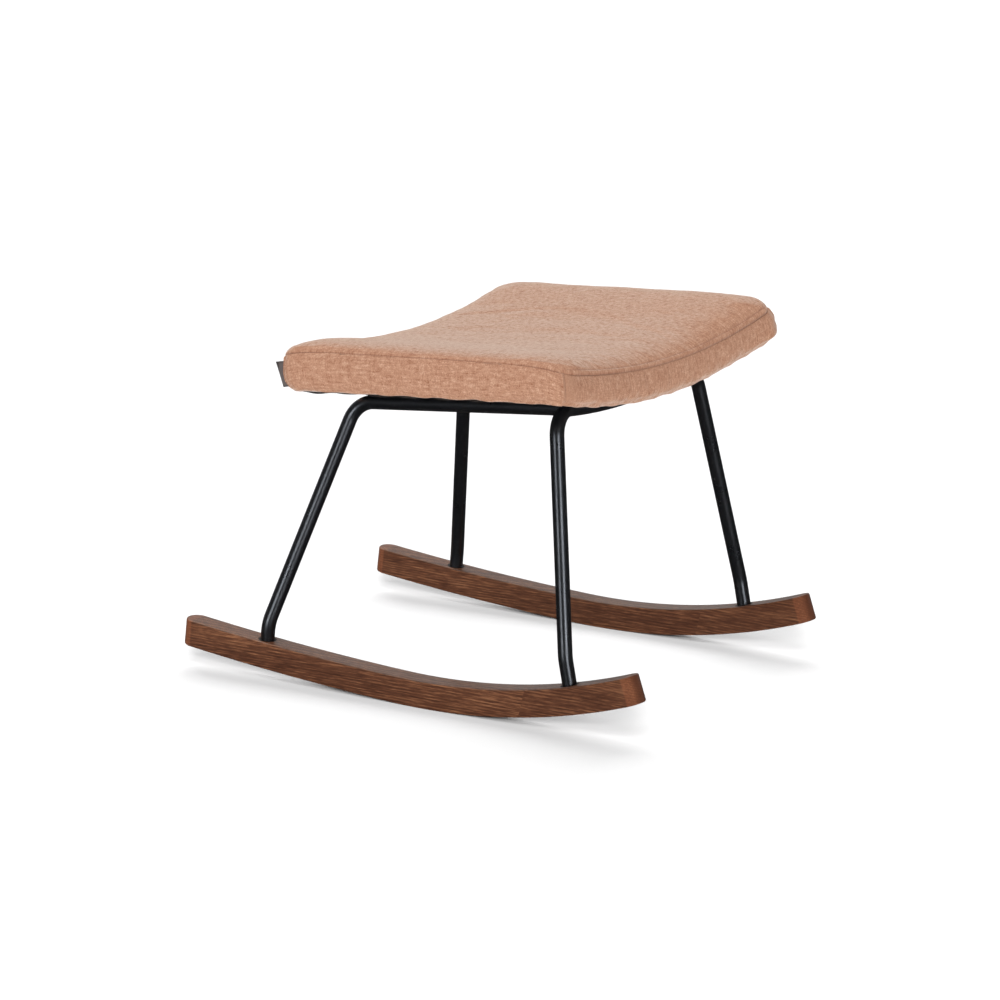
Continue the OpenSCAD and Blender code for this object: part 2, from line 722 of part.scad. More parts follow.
// Outer or inner line of the side band at a station, from the hanging edge up to the seam
function band_line(s, o0, h0) = concat(
    [[fabric_t - dust_inset, h0]],
    [for (i = [len(sag_o_shares) - 1 : -1 : 0])
        [o0 + side_swell * sag_o_shares[i], h0 - sag_at(s.x, s.y) * sag_h_shares[i]]],
    [for (i = [0 : len(side_h_shares) - 1])
        [o0 + side_swell * side_o_shares[i], h0 + (seam_h(s.x, s.y) - h0) * side_h_shares[i]]]);

// Triangles of a skin over rows of m points: wraps round the row, and round the rows if closed
function skin_faces(rows, m, closed) = [
    for (i = [0 : rows - (closed ? 1 : 2)])
        for (j = [0 : m - 1])
            let (a = i * m + j, b = i * m + (j + 1) % m,
                c = ((i + 1) % rows) * m + (j + 1) % m, d = ((i + 1) % rows) * m + j)
                each [[a, b, c], [a, c, d]]];

// One strip of the side band, between stations k0 and k1
module band(k0, k1) {
    rows = k1 - k0 + 1;
    m = len(sag_o_shares) + len(side_h_shares) + 2;
    outer_h = -soft_gap - fabric_t;
    points = [
        for (k = [k0 : k1])
            let (s = stations[k % station_n],
                o = band_line(s, soft_gap + fabric_t, outer_h), q = band_line(s, soft_gap, -soft_gap))
                each concat(
                    [at_hem(s, outer_h)],
                    [for (p = o) at_station(s, p[0], p[1])],
                    [for (j = [m - 2 : -1 : 0]) at_station(s, q[j][0], q[j][1])],
                    [at_hem(s, -soft_gap)])];
    last = (rows - 1) * 2 * m;
    caps = [
        for (j = [0 : m - 2])
            let (a = j, b = j + 1, c = 2 * m - 2 - j, d = 2 * m - 1 - j)
                each [[a, c, b], [a, d, c],
                    [last + a, last + b, last + c], [last + a, last + c, last + d]]];
    on_seat()
        polyhedron(points = points, faces = concat(skin_faces(rows, 2 * m, false), caps), convexity = 4);
}

front_k = 0;
right_k = corner_n / 2 + side_nx + corner_n / 2;
back_k = right_k + corner_n + side_ny;
left_k = back_k + corner_n + side_nx;

module band_front() {
    color(cloth_rust) band(front_k, right_k);
}

module band_right() {
    color(cloth_rust) band(right_k, back_k);
}

module band_back() {
    color(cloth_rust) band(back_k, left_k);
}

module band_left() {
    color(cloth_rust) band(left_k, station_n);
}

// The ridge along the top seam sits on the band and outside the top panel
welt_r = welt_d / 2;
seam_o = soft_gap + fabric_t + side_swell * side_o_shares[6];
function welt_c(s) = [seam_o - fabric_t, seam_h(s.x, s.y) + soft_gap + welt_r];

module top_welt() {
    points = [
        for (s = stations)
            for (i = [0 : welt_n - 1])
                let (c = welt_c(s), a = -360 * i / welt_n)
                    at_station(s, c[0] + welt_r * cos(a), c[1] + welt_r * sin(a))];
    color(cloth_rust)
        on_seat()
            polyhedron(points = points, faces = skin_faces(station_n, welt_n, true), convexity = 4);
}

// Top panel: rings that shrink towards the middle and rise with the crown
function crown_rise(k) = pow(1 - pow(k, crown_square_share), crown_roll_share);
function panel_o(s) = welt_c(s)[0] - welt_r - soft_gap;
// A point of the crown, lower than its top by under
function panel_point(s, k, o, under) =
    let (x = k * (s.x + o * s.z), y = k * (s.y + o * s[3]))
        dish(x, y, seam_h(x, y) + soft_gap + (crown_top(x, y) - seam_h(x, y) - under) * crown_rise(k));

// Triangles of rings of m points that close on one last point
function dome_faces(rings, m, first, tip, up) = concat([
    for (i = [0 : rings - 2])
        for (j = [0 : m - 1])
            let (a = first + i * m + j, b = first + i * m + (j + 1) % m,
                c = first + (i + 1) * m + (j + 1) % m, d = first + (i + 1) * m + j)
                each up ? [[a, c, b], [a, d, c]] : [[a, b, c], [a, c, d]]],
    [for (j = [0 : m - 1])
        let (a = first + (rings - 1) * m + j, b = first + (rings - 1) * m + (j + 1) % m)
            up ? [a, tip, b] : [a, b, tip]]);

module top_panel() {
    rings = len(crown_shares);
    m = station_n;
    outer = [for (k = crown_shares) for (s = stations) panel_point(s, k, panel_o(s), 0)];
    inner = [for (k = crown_shares) for (s = stations)
        panel_point(s, k, panel_o(s) - fabric_t, fabric_t)];
    tips = [dish(0, 0, crown_top(0, 0) + soft_gap), dish(0, 0, crown_top(0, 0) + soft_gap - fabric_t)];
    rim = [
        for (j = [0 : m - 1])
            let (a = j, b = (j + 1) % m, c = rings * m + (j + 1) % m, d = rings * m + j)
                each [[a, b, c], [a, c, d]]];
    color(cloth_rust)
        on_seat()
            polyhedron(points = concat(outer, inner, tips),
                faces = concat(dome_faces(rings, m, 0, 2 * rings * m, true),
                    dome_faces(rings, m, rings * m, 2 * rings * m + 1, false), rim),
                convexity = 4);
}

// Foam pad: it stands on the board and fills the cover
module foam_pad() {
    rings = len(crown_shares);
    m = station_n;
    side_n = len(side_h_shares) - 2;
    top = [for (k = crown_shares) for (s = stations)
        panel_point(s, k, panel_o(s) - fabric_t - soft_gap, fabric_t + soft_gap) - [0, 0, soft_gap]];
    sides = [for (i = [side_n : -1 : 3]) for (s = stations)
        at_station(s, side_swell * side_o_shares[i], seam_h(s.x, s.y) * side_h_shares[i])];
    foot = [for (s = stations) at_station(s, -soft_gap, board_t + soft_gap)];
    under = [for (k = under_shares) for (s = stations) dish(k * s.x, k * s.y, board_t + soft_gap)];
    tips = [dish(0, 0, crown_top(0, 0) - fabric_t - soft_gap), dish(0, 0, board_t + soft_gap)];
    body = concat(top, sides, foot, under, tips);
    side_rows = side_n - 2;
    loops = concat([0], [for (i = [0 : side_rows]) rings + i]);
    walls = [
        for (i = [0 : len(loops) - 2])
            for (j = [0 : m - 1])
                let (a = loops[i] * m + j, b = loops[i] * m + (j + 1) % m,
                    c = loops[i + 1] * m + (j + 1) % m, d = loops[i + 1] * m + j)
                    each [[a, b, c], [a, c, d]]];
    base = (rings + side_rows) * m;
    tip = len(body) - 2;
    color(foam_cream)
        on_seat()
            polyhedron(points = body,
                faces = concat(dome_faces(rings, m, 0, tip, true), walls,
                    dome_faces(len(under_shares) + 1, m, base, tip + 1, false)),
                convexity = 4);
}

// Staples that hold the hem and the dust cover up to the board
staple_nx = floor((board_w - 4 * dust_inset) / staple_pitch);
staple_ny = floor((board_l - 4 * dust_inset) / staple_pitch);

module staple(x, y, turn) {
    on_dish(x, y)
        translate([0, 0, -under_stack - staple_t / 2])
            rotate([0, 0, turn])
                cube([staple_l, staple_w, staple_t], center = true);
}

module staples() {
    color(steel_grey) {
        for (i = [0 : staple_nx])
            for (side = [-1, 1])
                staple((i - staple_nx / 2) * staple_pitch, side * (board_l / 2 - 2 * dust_inset), 0);
        for (i = [0 : staple_ny])
            for (side = [-1, 1])
                staple(side * (board_w / 2 - 2 * dust_inset), (i - staple_ny / 2) * staple_pitch, 90);
    }
}

// The label tab stands out of the seam at the back left corner
label_k = left_k;
label_base = (side_h - label_h) / 2;

module label_tab() {
    s = stations[label_k];
    h = seam_h(s.x, s.y);
    steps = len(side_h_shares) - 1;
    swells = [for (j = [0 : steps]) [side_h_shares[j], side_o_shares[j]]];
    // Points up the side, moved out by t
    side = function (t) [for (i = [0 : steps])
        let (z = label_base + label_h * i / steps)
            [2 * soft_gap + fabric_t + side_swell * lookup(z / h, swells)
                + t * tab_out * (tab_foot_share + (1 - tab_foot_share) * i / steps), z]];
    outer = side(1);
    color(label_grey)
        on_seat()
            translate(dish(s.x, s.y, 0))
                rotate([0, 0, atan2(s[3], s.z)])
                    translate([0, label_t / 2, 0])
                        rotate([90, 0, 0])
                            linear_extrude(height = label_t)
                                polygon(concat(side(0), [for (i = [steps : -1 : 0]) outer[i]]));
}

rocker_left();
rocker_right();
leg_sleeves();
leg_inserts();
rocker_screws();
front_frame();
back_leg_left();
back_leg_right();
rear_strap();
front_tabs();
seat_screws();
tee_nuts();
seat_board();
foam_pad();
top_panel();
top_welt();
band_front();
band_right();
band_back();
band_left();
dust_cover();
staples();
label_tab();
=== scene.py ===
import math
import bmesh
import bpy
import numpy as np
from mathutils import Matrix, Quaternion, Vector, noise


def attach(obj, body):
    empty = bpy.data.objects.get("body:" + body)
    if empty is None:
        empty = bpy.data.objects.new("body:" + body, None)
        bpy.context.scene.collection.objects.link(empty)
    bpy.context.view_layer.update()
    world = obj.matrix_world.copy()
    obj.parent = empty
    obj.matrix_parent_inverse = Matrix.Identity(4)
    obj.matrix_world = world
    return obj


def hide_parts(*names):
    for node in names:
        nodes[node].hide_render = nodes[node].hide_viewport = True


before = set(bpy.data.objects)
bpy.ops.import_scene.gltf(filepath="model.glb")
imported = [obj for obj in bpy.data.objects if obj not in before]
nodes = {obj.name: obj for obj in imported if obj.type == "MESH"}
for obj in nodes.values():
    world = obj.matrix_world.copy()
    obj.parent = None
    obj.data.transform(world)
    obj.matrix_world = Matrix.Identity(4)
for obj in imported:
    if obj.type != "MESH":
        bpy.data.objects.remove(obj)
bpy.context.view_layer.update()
mm = 0.001


def addObject(name, data):
    made = bpy.data.objects.new(name, data)
    bpy.context.scene.collection.objects.link(made)
    return made


# Camera, at the photograph's viewing angle
view = {
    "place": (-3.4317, -2.1275, 1.1412),
    "aim": (0.0047, 0.0050, 0.1883),
    "lens": 131.2,
    "sensor": 36,
    "roll": 0.055,
}


def addCamera():
    data = bpy.data.cameras.new("camera")
    data.lens = view["lens"]
    data.sensor_width = view["sensor"]
    camera = addObject("camera", data)
    camera.location = view["place"]
    toward = Vector(view["aim"]) - Vector(view["place"])
    roll = Quaternion((0, 0, 1), math.radians(view["roll"]))
    camera.rotation_mode = "QUATERNION"
    camera.rotation_quaternion = toward.to_track_quat("-Z", "Y") @ roll
    bpy.context.scene.camera = camera


# A value in a node tree. Plain arithmetic on it adds Math nodes.
class Wire:
    def __init__(self, socket):
        self.socket = socket
        self.tree = socket.id_data

    __add__ = lambda a, b: calc("ADD", a, b)
    __radd__ = lambda a, b: calc("ADD", b, a)
    __sub__ = lambda a, b: calc("SUBTRACT", a, b)
    __rsub__ = lambda a, b: calc("SUBTRACT", b, a)
    __mul__ = lambda a, b: calc("MULTIPLY", a, b)
    __truediv__ = lambda a, b: calc("DIVIDE", a, b)
    __rtruediv__ = lambda a, b: calc("DIVIDE", b, a)
    __abs__ = lambda a: calc("ABSOLUTE", a)


def wires(node):
    return {socket.name: Wire(socket) for socket in node.outputs}


def feed(value, socket):
    if isinstance(value, Wire):
        value.tree.links.new(value.socket, socket)
    else:
        socket.default_value = value


def placeNode(tree, kind, inputs=None, **settings):
    made = tree.nodes.new(kind)
    for key, value in settings.items():
        setattr(made, key, value)
    for key, value in (inputs or {}).items():
        feed(value, made.inputs[key])
    return made


def place(tree, kind, inputs=None, out=0, **settings):
    return Wire(placeNode(tree, kind, inputs, **settings).outputs[out])


def calc(operation, a, b=0.0):
    tree = a.tree if isinstance(a, Wire) else b.tree
    return place(tree, "ShaderNodeMath", {0: a, 1: b}, operation=operation)


# The same value, kept between 0 and 1
def held(value):
    value.socket.node.use_clamp = True
    return value


def vectorCalc(operation, a, b, out="Vector"):
    return place(a.tree, "ShaderNodeVectorMath", {0: a, 1: b}, out=out, operation=operation)


def split(vector):
    return [Wire(part) for part in placeNode(vector.tree, "ShaderNodeSeparateXYZ", {0: vector}).outputs]


def join(x, y, z):
    return place(x.tree, "ShaderNodeCombineXYZ", {0: x, 1: y, 2: z})


def blendColour(share, a, b):
    return place(share.tree, "ShaderNodeMix", {0: share, 6: a, 7: b}, out=2, data_type="RGBA")


def stretch(vector, scale):
    return place(vector.tree, "ShaderNodeMapping", {"Vector": vector, "Scale": scale})


def cloud(vector, scale, detail=2.0, rough=0.5):
    return place(vector.tree, "ShaderNodeTexNoise", {
        "Vector": vector, "Scale": scale, "Detail": detail, "Roughness": rough})


def spread(value, low, high, toLow=0.0, toHigh=1.0):
    return place(value.tree, "ShaderNodeMapRange", {
        "Value": value, "From Min": low, "From Max": high, "To Min": toLow, "To Max": toHigh})


def srgb(colour):
    parts = [c / 255 for c in colour]
    return [p / 12.92 if p <= 0.04045 else ((p + 0.055) / 1.055) ** 2.4 for p in parts] + [1]


# A new tree. An input is given as its first value, or as its kind where it has none.
def startTree(kind, name, inputs, outputs):
    tree = bpy.data.node_groups.new(name, kind)
    for label, value in inputs.items():
        if isinstance(value, str):
            tree.interface.new_socket(label, in_out="INPUT", socket_type="NodeSocket" + value)
        else:
            sort = "NodeSocketInt" if isinstance(value, int) else "NodeSocketFloat"
            tree.interface.new_socket(label, in_out="INPUT", socket_type=sort).default_value = value
    sort = "NodeSocketGeometry" if kind == "GeometryNodeTree" else "NodeSocketFloat"
    for label in outputs:
        tree.interface.new_socket(label, in_out="OUTPUT", socket_type=sort)
    start = tree.nodes.new("NodeGroupInput")
    end = tree.nodes.new("NodeGroupOutput")
    return tree, wires(start), end.inputs


def endTree(out, values):
    for label, value in values.items():
        feed(value, out[label])


def useGroup(group, vector, sizes):
    return wires(placeNode(vector.tree, "ShaderNodeGroup", {"Vector": vector, **sizes}, node_tree=group))


def startMaterial(name, **settings):
    material = bpy.data.materials.new(name)
    material.use_nodes = True
    tree = material.node_tree
    shader = tree.nodes["Principled BSDF"]
    for key, value in settings.items():
        shader.inputs[key.replace("_", " ")].default_value = value
    return material, tree, shader.inputs


def onObject(tree):
    return place(tree, "ShaderNodeTexCoord", out="Object")


def onCloth(tree):
    return place(tree, "ShaderNodeUVMap", uv_map="cloth")


# Colour and relief of a material, and its roughness where that changes over the surface
def dress(shader, colour, height, strength, depth, rough=None):
    bump = place(colour.tree, "ShaderNodeBump", {"Strength": strength, "Distance": depth, "Height": height})
    feed(colour, shader["Base Color"])
    feed(bump, shader["Normal"])
    if rough is not None:
        feed(rough, shader["Roughness"])


def inMillimetres(vector):
    return vectorCalc("MULTIPLY", vector, (1000, 1000, 1000))


# Woven cloth: uneven yarns both ways, with thick and thin places. The vector is in metres,
# with the warp along its second axis.
def makeWeave():
    group, given, out = startTree("ShaderNodeTree", "unevenWeave", {
        "Vector": "Vector", "Warp Pitch": 1.5, "Weft Pitch": 1.5, "Slub Length": 16.0, "Unevenness": 0.6,
    }, ["Yarn", "Slub", "Speckle", "Patch", "Height"])
    scaled = inMillimetres(given["Vector"])
    parts = split(scaled)
    bent = (cloud(scaled, 0.09, 2) - 0.5) * 2.4
    across = parts[0] + bent
    along = parts[1] + bent
    warpCount = across / given["Warp Pitch"]
    weftCount = along / given["Weft Pitch"]
    # Round of each yarn
    warpRound = abs(calc("SINE", warpCount * math.pi))
    weftRound = abs(calc("SINE", weftCount * math.pi))
    # Each yarn has its own tone and its own thick places along it
    warpCell = calc("FLOOR", warpCount)
    weftCell = calc("FLOOR", weftCount)
    warpTone = cloud(join(warpCell * 7.31, along / given["Slub Length"], 0.0), 1.0, 3, 0.65)
    weftTone = cloud(join(across / given["Slub Length"], weftCell * 5.17, 9.0), 1.0, 3, 0.65)
    # Over and under
    over = calc("GREATER_THAN", calc("MODULO", abs(warpCell) + abs(weftCell), 2), 0.5)
    warpTop = warpRound * (over * 0.45 + 0.55)
    weftTop = weftRound * (1.0 - over * 0.45)
    shown = calc("GREATER_THAN", warpTop, weftTop)
    tone = place(group, "ShaderNodeMix", {0: shown, 2: weftTone, 3: warpTone}, data_type="FLOAT")
    speckle = cloud(scaled, 0.75, 3, 0.7)
    uneven = (tone - 0.5) * given["Unevenness"]
    endTree(out, {
        "Yarn": tone,
        "Slub": cloud(stretch(scaled, (0.45, 0.05, 1)), 1.0, 3, 0.6),
        "Speckle": speckle,
        "Patch": cloud(stretch(scaled, (1.25, 0.9, 1)), 0.2, 3, 0.75),
        "Height": calc("MAXIMUM", warpTop, weftTop) * 0.6 + uneven + speckle * 0.35,
    })
    return group


# Grain of stained open-pored wood along the second axis of the vector, in metres
def makeGrain():
    group, given, out = startTree("ShaderNodeTree", "openGrain", {
        "Vector": "Vector", "Ring Width": 5.0,
    }, ["Rings", "Pores", "Flame", "Height"])
    scaled = inMillimetres(given["Vector"])
    parts = split(scaled)
    sway = cloud(stretch(scaled, (0.02, 0.003, 0.02)), 1.0, 2, 0.5)
    ring = (parts[2] + parts[0] * 0.35 + sway * 20) / given["Ring Width"]
    rings = spread(abs(calc("FRACT", ring) - 0.5), 0.0, 0.5)
    fibre = spread(cloud(stretch(scaled, (0.95, 0.032, 0.95)), 1.0, 4, 0.65), 0.3, 0.7)
    fine = spread(cloud(stretch(scaled, (2.2, 0.08, 2.2)), 1.0, 3, 0.6), 0.3, 0.7)
    pores = cloud(stretch(scaled, (1.7, 0.075, 1.7)), 1.0, 2, 0.5)
    poreMask = held(spread(pores, 0.56, 0.66) * (spread(rings, 0.25, 0.8) * 0.5 + 0.5))
    endTree(out, {
        "Rings": rings * 0.20 + (fibre * 0.46 + fine * 0.34),
        "Pores": poreMask,
        "Flame": cloud(stretch(scaled, (0.03, 0.004, 0.05)), 1.0, 3, 0.5),
        "Height": fine * 0.35 - poreMask * 0.8,
    })
    return group


# Fine skin of paint, plastic or zinc, with faint dust and rubbed places
def makeSkin():
    group, given, out = startTree("ShaderNodeTree", "fineSkin", {
        "Vector": "Vector", "Grain Size": 0.8,
    }, ["Height", "Rub", "Dust"])
    scaled = inMillimetres(given["Vector"])
    endTree(out, {
        "Height": cloud(scaled, 1.0 / given["Grain Size"], 3, 0.6),
        "Rub": spread(cloud(scaled, 0.045, 4, 0.6), 0.35, 0.7),
        "Dust": spread(cloud(scaled, 0.3, 5, 0.7), 0.5, 0.8),
    })
    return group


weave = makeWeave()
grain = makeGrain()
skin = makeSkin()


coverLook = {
    "dark": (152, 100, 76),
    "middle": (194, 146, 119),
    "light": (230, 191, 166),
    # Colour of the painted sheen that the pile gets where it is seen from the side
    "paintedSheenColour": (226, 202, 186),
    # Colour of the painted shade in the seams and grooves
    "seam": (132, 84, 62),
    "yarnShare": 0.26,
    "fleckShare": 0.30,
    "slubShare": 0.18,
    "patchShare": 0.26,
    # Strength of the painted sheen
    "paintedSheenEdge": 0.66,
    "seamShadeShare": 0.75,
    "warpPitch": 1.45,
    "weftPitch": 1.7,
    "slubLength": 15,
    "relief": 0.55,
}


def makeCoverCloth():
    look = coverLook
    material, t, shader = startMaterial(
        "coverCloth", Roughness=0.92, Sheen_Weight=0.12, Sheen_Roughness=0.22,
        Sheen_Tint=(1, 0.9, 0.8, 1), Specular_IOR_Level=0.1)
    made = useGroup(weave, onCloth(t), {
        "Warp Pitch": look["warpPitch"], "Weft Pitch": look["weftPitch"], "Slub Length": look["slubLength"]})
    patch = spread(made["Patch"], 0.3, 0.7)
    mixed = spread(made["Yarn"], 0.3, 0.7) * look["yarnShare"]
    mixed = mixed + spread(made["Speckle"], 0.33, 0.67) * look["fleckShare"]
    mixed = mixed + spread(made["Slub"], 0.34, 0.66) * look["slubShare"] + patch * look["patchShare"]
    low = blendColour(spread(mixed, 0.18, 0.5), srgb(look["dark"]), srgb(look["middle"]))
    colour = blendColour(spread(mixed, 0.52, 0.86), low, srgb(look["light"]))
    # Painted sheen: the pile is painted paler where it is seen from the side
    facing = place(t, "ShaderNodeLayerWeight", {"Blend": 0.5}, out="Facing")
    fuzz = spread(mixed * 0.6 + patch * 0.4, 0.25, 0.75, 0.25, 1.75)
    pale = held(spread(facing, 0.55, 0.95, 0.0, look["paintedSheenEdge"]) * fuzz)
    # Painted shade in the seams and grooves, where the painted sheen of the pile is left out
    seamShade = place(t, "ShaderNodeAttribute", out="Fac", attribute_name="seamShade")
    colour = blendColour(pale * held(1.0 - seamShade), colour, srgb(look["paintedSheenColour"]))
    colour = blendColour(held(seamShade * look["seamShadeShare"]), colour, srgb(look["seam"]))
    dress(shader, colour, made["Height"], look["relief"], 0.0006)
    return material


# Rockers
rocker = {
    "spacing": 396,
    "width": 28,
    "depth": 31,
    "edgeRound": 1.9,
    "frontRadius": 800,
    "tailRadius": 3900,
    "tailStart": 38,
    "frontLength": 262,
    "tailLength": 319,
    "restFlat": 14,
    "contact": -30.786,
    "frontLegAt": -187,
    "backLegAt": 222,
    "socketDepth": 16,
    "socketRadius": 10.2,
    "socketEdge": 0.5,
    "screwRadius": 3.3,
    "headRadius": 6.1,
    "headDepth": 5,
    "endSteps": 12,
    "frontSteps": 53,
    "flatSteps": 7,
    "tailSteps": 57,
}


# Slope of the rocker at a run s along its underside, backwards from the middle
def rockerAngle(s):
    start = rocker["tailStart"]
    if s <= start:
        return s / rocker["frontRadius"]
    return start / rocker["frontRadius"] + (s - start) / rocker["tailRadius"]


# The point there, pushed along the rocker and lifted off its underside by h
def rockerPoint(s, push, h):
    front = rocker["frontRadius"]
    tail = rocker["tailRadius"]
    a = rockerAngle(s)
    bend = rocker["tailStart"] / front
    rest = front * (1 - math.cos(rocker["restFlat"] / 2 / front))
    if s <= rocker["tailStart"]:
        y = front * math.sin(a)
        z = front * (1 - math.cos(a)) - rest
    else:
        y = -(tail - front) * math.sin(bend) + tail * math.sin(a)
        z = front + (tail - front) * math.cos(bend) - tail * math.cos(a) - rest
    y = rocker["contact"] + y + push * math.cos(a) - h * math.sin(a)
    return Vector((0, y, z + push * math.sin(a) + h * math.cos(a)))


woodLook = {
    "dark": (70, 37, 24),
    "middle": (112, 67, 45),
    "light": (178, 122, 84),
    "pore": (48, 25, 17),
    "poreShare": 0.55,
    "frontBoard": (70, 36, 24),
    "frontShare": 0.16,
    # Painted light on the rounded ends
    "paintedEndLight": (160, 92, 60),
    "litEndShare": 0.34,
    # Darker tips of the ends: end grain and painted shade
    "darkTipGrainAndShade": (72, 37, 25),
    "darkTipGrainAndShadeShare": 0.6,
    "ringShare": 0.70,
    "flameShare": 0.30,
    "jointAt": -0.150,
    "ringWidth": 3.4,
    "relief": 0.35,
}


def makeRockerWood():
    look = woodLook
    material, t, shader = startMaterial(
        "stainedAsh", Specular_IOR_Level=0.55, Specular_Tint=(0.93, 1, 0.88, 1))
    spot = onObject(t)
    parts = split(spot)
    # The rocker is glued up from two lengths of board, so the grain jumps at the joint
    front = calc("LESS_THAN", parts[1] + parts[2] * 0.25, look["jointAt"])
    moved = vectorCalc("ADD", spot, join(front * 0.31, front * 0.7, front * 0.043))
    made = useGroup(grain, moved, {"Ring Width": look["ringWidth"]})
    tone = made["Rings"] * look["ringShare"] + made["Flame"] * look["flameShare"]
    low = blendColour(spread(tone, 0.30, 0.54), srgb(look["dark"]), srgb(look["middle"]))
    colour = blendColour(spread(tone, 0.51, 0.78), low, srgb(look["light"]))
    colour = blendColour(made["Pores"] * look["poreShare"], colour, srgb(look["pore"]))
    colour = blendColour(front * look["frontShare"], colour, srgb(look["frontBoard"]))
    # Painted light on the rounded ends, lighter where the rounding begins, and darker at the very tips,
    # partly end grain and partly painted shade
    ends = 0.0
    tips = 0.0
    for s, way in ((-rocker["frontLength"], -1), (rocker["tailLength"], 1)):
        a = rockerAngle(s)
        start = rockerPoint(s, 0, 0) * mm
        beyond = (parts[1] - start.y) * (way * math.cos(a)) + (parts[2] - start.z) * (way * math.sin(a))
        ends = ends + spread(beyond, -0.0005, 0.001, 0.0, look["litEndShare"])
        tips = tips + spread(beyond, 0.0095, 0.0132, 0.0, look["darkTipGrainAndShadeShare"])
    colour = blendColour(ends, colour, srgb(look["paintedEndLight"]))
    colour = blendColour(tips, colour, srgb(look["darkTipGrainAndShade"]))
    rough = spread(made["Rings"], 0.2, 0.8, 0.34, 0.28)
    dress(shader, colour, made["Height"], look["relief"], 0.0003, rough)
    return material


def makeSkinned(name, base, rubbed, rough, size, relief, **settings):
    material, t, shader = startMaterial(name, **settings)
    made = useGroup(skin, onObject(t), {"Grain Size": size})
    colour = blendColour(made["Rub"] * 0.6, srgb(base), srgb(rubbed))
    colour = blendColour(made["Dust"] * 0.06, colour, srgb((150, 146, 140)))
    dress(shader, colour, made["Height"], relief, 0.0002, spread(made["Rub"], 0, 1, rough, rough - 0.08))
    return material


def makePlywood():
    material, t, shader = startMaterial("birchPlywood", Specular_IOR_Level=0.4, Roughness=0.7)
    spot = onObject(t)
    made = useGroup(grain, spot, {"Ring Width": 9.0})
    face = blendColour(made["Rings"], srgb((181, 145, 103)), srgb((222, 194, 152)))
    plies = calc("GREATER_THAN", calc("FRACT", split(spot)[2] * 700), 0.5)
    colour = blendColour(plies * 0.22, face, srgb((120, 84, 52)))
    dress(shader, colour, made["Height"], 0.3, 0.0003)
    return material


def makeFoam():
    material, t, shader = startMaterial("paleFoam", Roughness=0.95)
    cells = place(t, "ShaderNodeTexVoronoi", {"Vector": onObject(t), "Scale": 900})
    colour = blendColour(cells, srgb((226, 214, 176)), srgb((240, 232, 202)))
    dress(shader, colour, cells, 0.6, 0.0008)
    return material


def makeDustCloth():
    material, t, shader = startMaterial("blackFleece", Roughness=0.85, Sheen_Weight=0.2)
    uv = onCloth(t)
    dots = place(t, "ShaderNodeTexVoronoi", {"Vector": uv, "Scale": 620}, feature="F1")
    fibres = cloud(uv, 1500, 4, 0.7)
    colour = blendColour(fibres, srgb((14, 14, 15)), srgb((34, 34, 36)))
    dress(shader, colour, spread(dots, 0.12, 0.4) + fibres * 0.5, 0.5, 0.0003)
    return material


def makeLabelRibbon():
    material, t, shader = startMaterial("greyRibbon", Roughness=0.6, Sheen_Weight=0.2)
    uv = onCloth(t)
    made = useGroup(weave, uv, {"Warp Pitch": 0.35, "Weft Pitch": 0.4, "Slub Length": 6.0, "Unevenness": 0.2})
    parts = split(uv)
    # Darker along the top and the bottom of the ribbon and towards its fold
    fold = spread(parts[0], 0.0065, 0.0085)
    edge = spread(abs(parts[1] - 0.0145), 0.0125, 0.0140)
    colour = blendColour(made["Yarn"], srgb((84, 78, 78)), srgb((124, 117, 115)))
    colour = blendColour(calc("MAXIMUM", fold, edge) * 0.75, colour, srgb((54, 49, 49)))
    dress(shader, colour, made["Height"], 0.4, 0.0002)
    return material


def makeThread():
    material, t, shader = startMaterial("seamThread", Roughness=0.7, Sheen_Weight=0.2)
    twist = cloud(onObject(t), 3000, 2)
    colour = blendColour(twist, srgb((140, 88, 66)), srgb((178, 122, 96)))
    dress(shader, colour, twist, 0.4, 0.0001)
    return material


print("materials")
coverCloth = makeCoverCloth()
stainedAsh = makeRockerWood()
blackPaint = makeSkinned(
    "blackPowderCoat", base=(10, 10, 13), rubbed=(15, 15, 19), rough=0.34, size=0.7, relief=0.2,
    Specular_IOR_Level=0.9, Specular_Tint=(0.84, 0.9, 1, 1))
blackPlastic = makeSkinned(
    "blackSleevePlastic", base=(14, 14, 14), rubbed=(24, 24, 24), rough=0.6, size=0.4, relief=0.3)
zinc = makeSkinned(
    "zincSteel", base=(168, 170, 174), rubbed=(196, 198, 202), rough=0.4, size=1.5, relief=0.15, Metallic=1.0)
plywood = makePlywood()
foam = makeFoam()
dustCloth = makeDustCloth()
ribbon = makeLabelRibbon()
thread = makeThread()


# Meshes
def addPiece(name, points, faces, material, uv=None, sharp=40, shade=None):
    mesh = bpy.data.meshes.new(name)
    mesh.from_pydata([tuple(p) for p in points], [], [tuple(f) for f in faces])
    if uv is not None:
        layer = mesh.uv_layers.new(name="cloth")
        corners = np.zeros(len(mesh.loops), dtype=np.int64)
        mesh.loops.foreach_get("vertex_index", corners)
        layer.data.foreach_set("uv", np.asarray(uv, dtype=np.float32)[corners].ravel())
    if shade is not None:
        kept = mesh.attributes.new("seamShade", "FLOAT", "POINT")
        kept.data.foreach_set("value", np.asarray(shade, dtype=np.float32))
    mesh.materials.append(material)
    finishShade(mesh, sharp)
    return addObject(name, mesh)


def finishShade(mesh, sharp):
    mesh.polygons.foreach_set("use_smooth", [True] * len(mesh.polygons))
    mesh.update()
    mesh.set_sharp_from_angle(angle=math.radians(sharp))


# Doubles merged and faces turned outwards
def tidyMesh(piece):
    work = bmesh.new()
    work.from_mesh(piece.data)
    bmesh.ops.remove_doubles(work, verts=work.verts, dist=0.00001)
    bmesh.ops.recalc_face_normals(work, faces=work.faces)
    work.to_mesh(piece.data)
    work.free()
    piece.data.update()


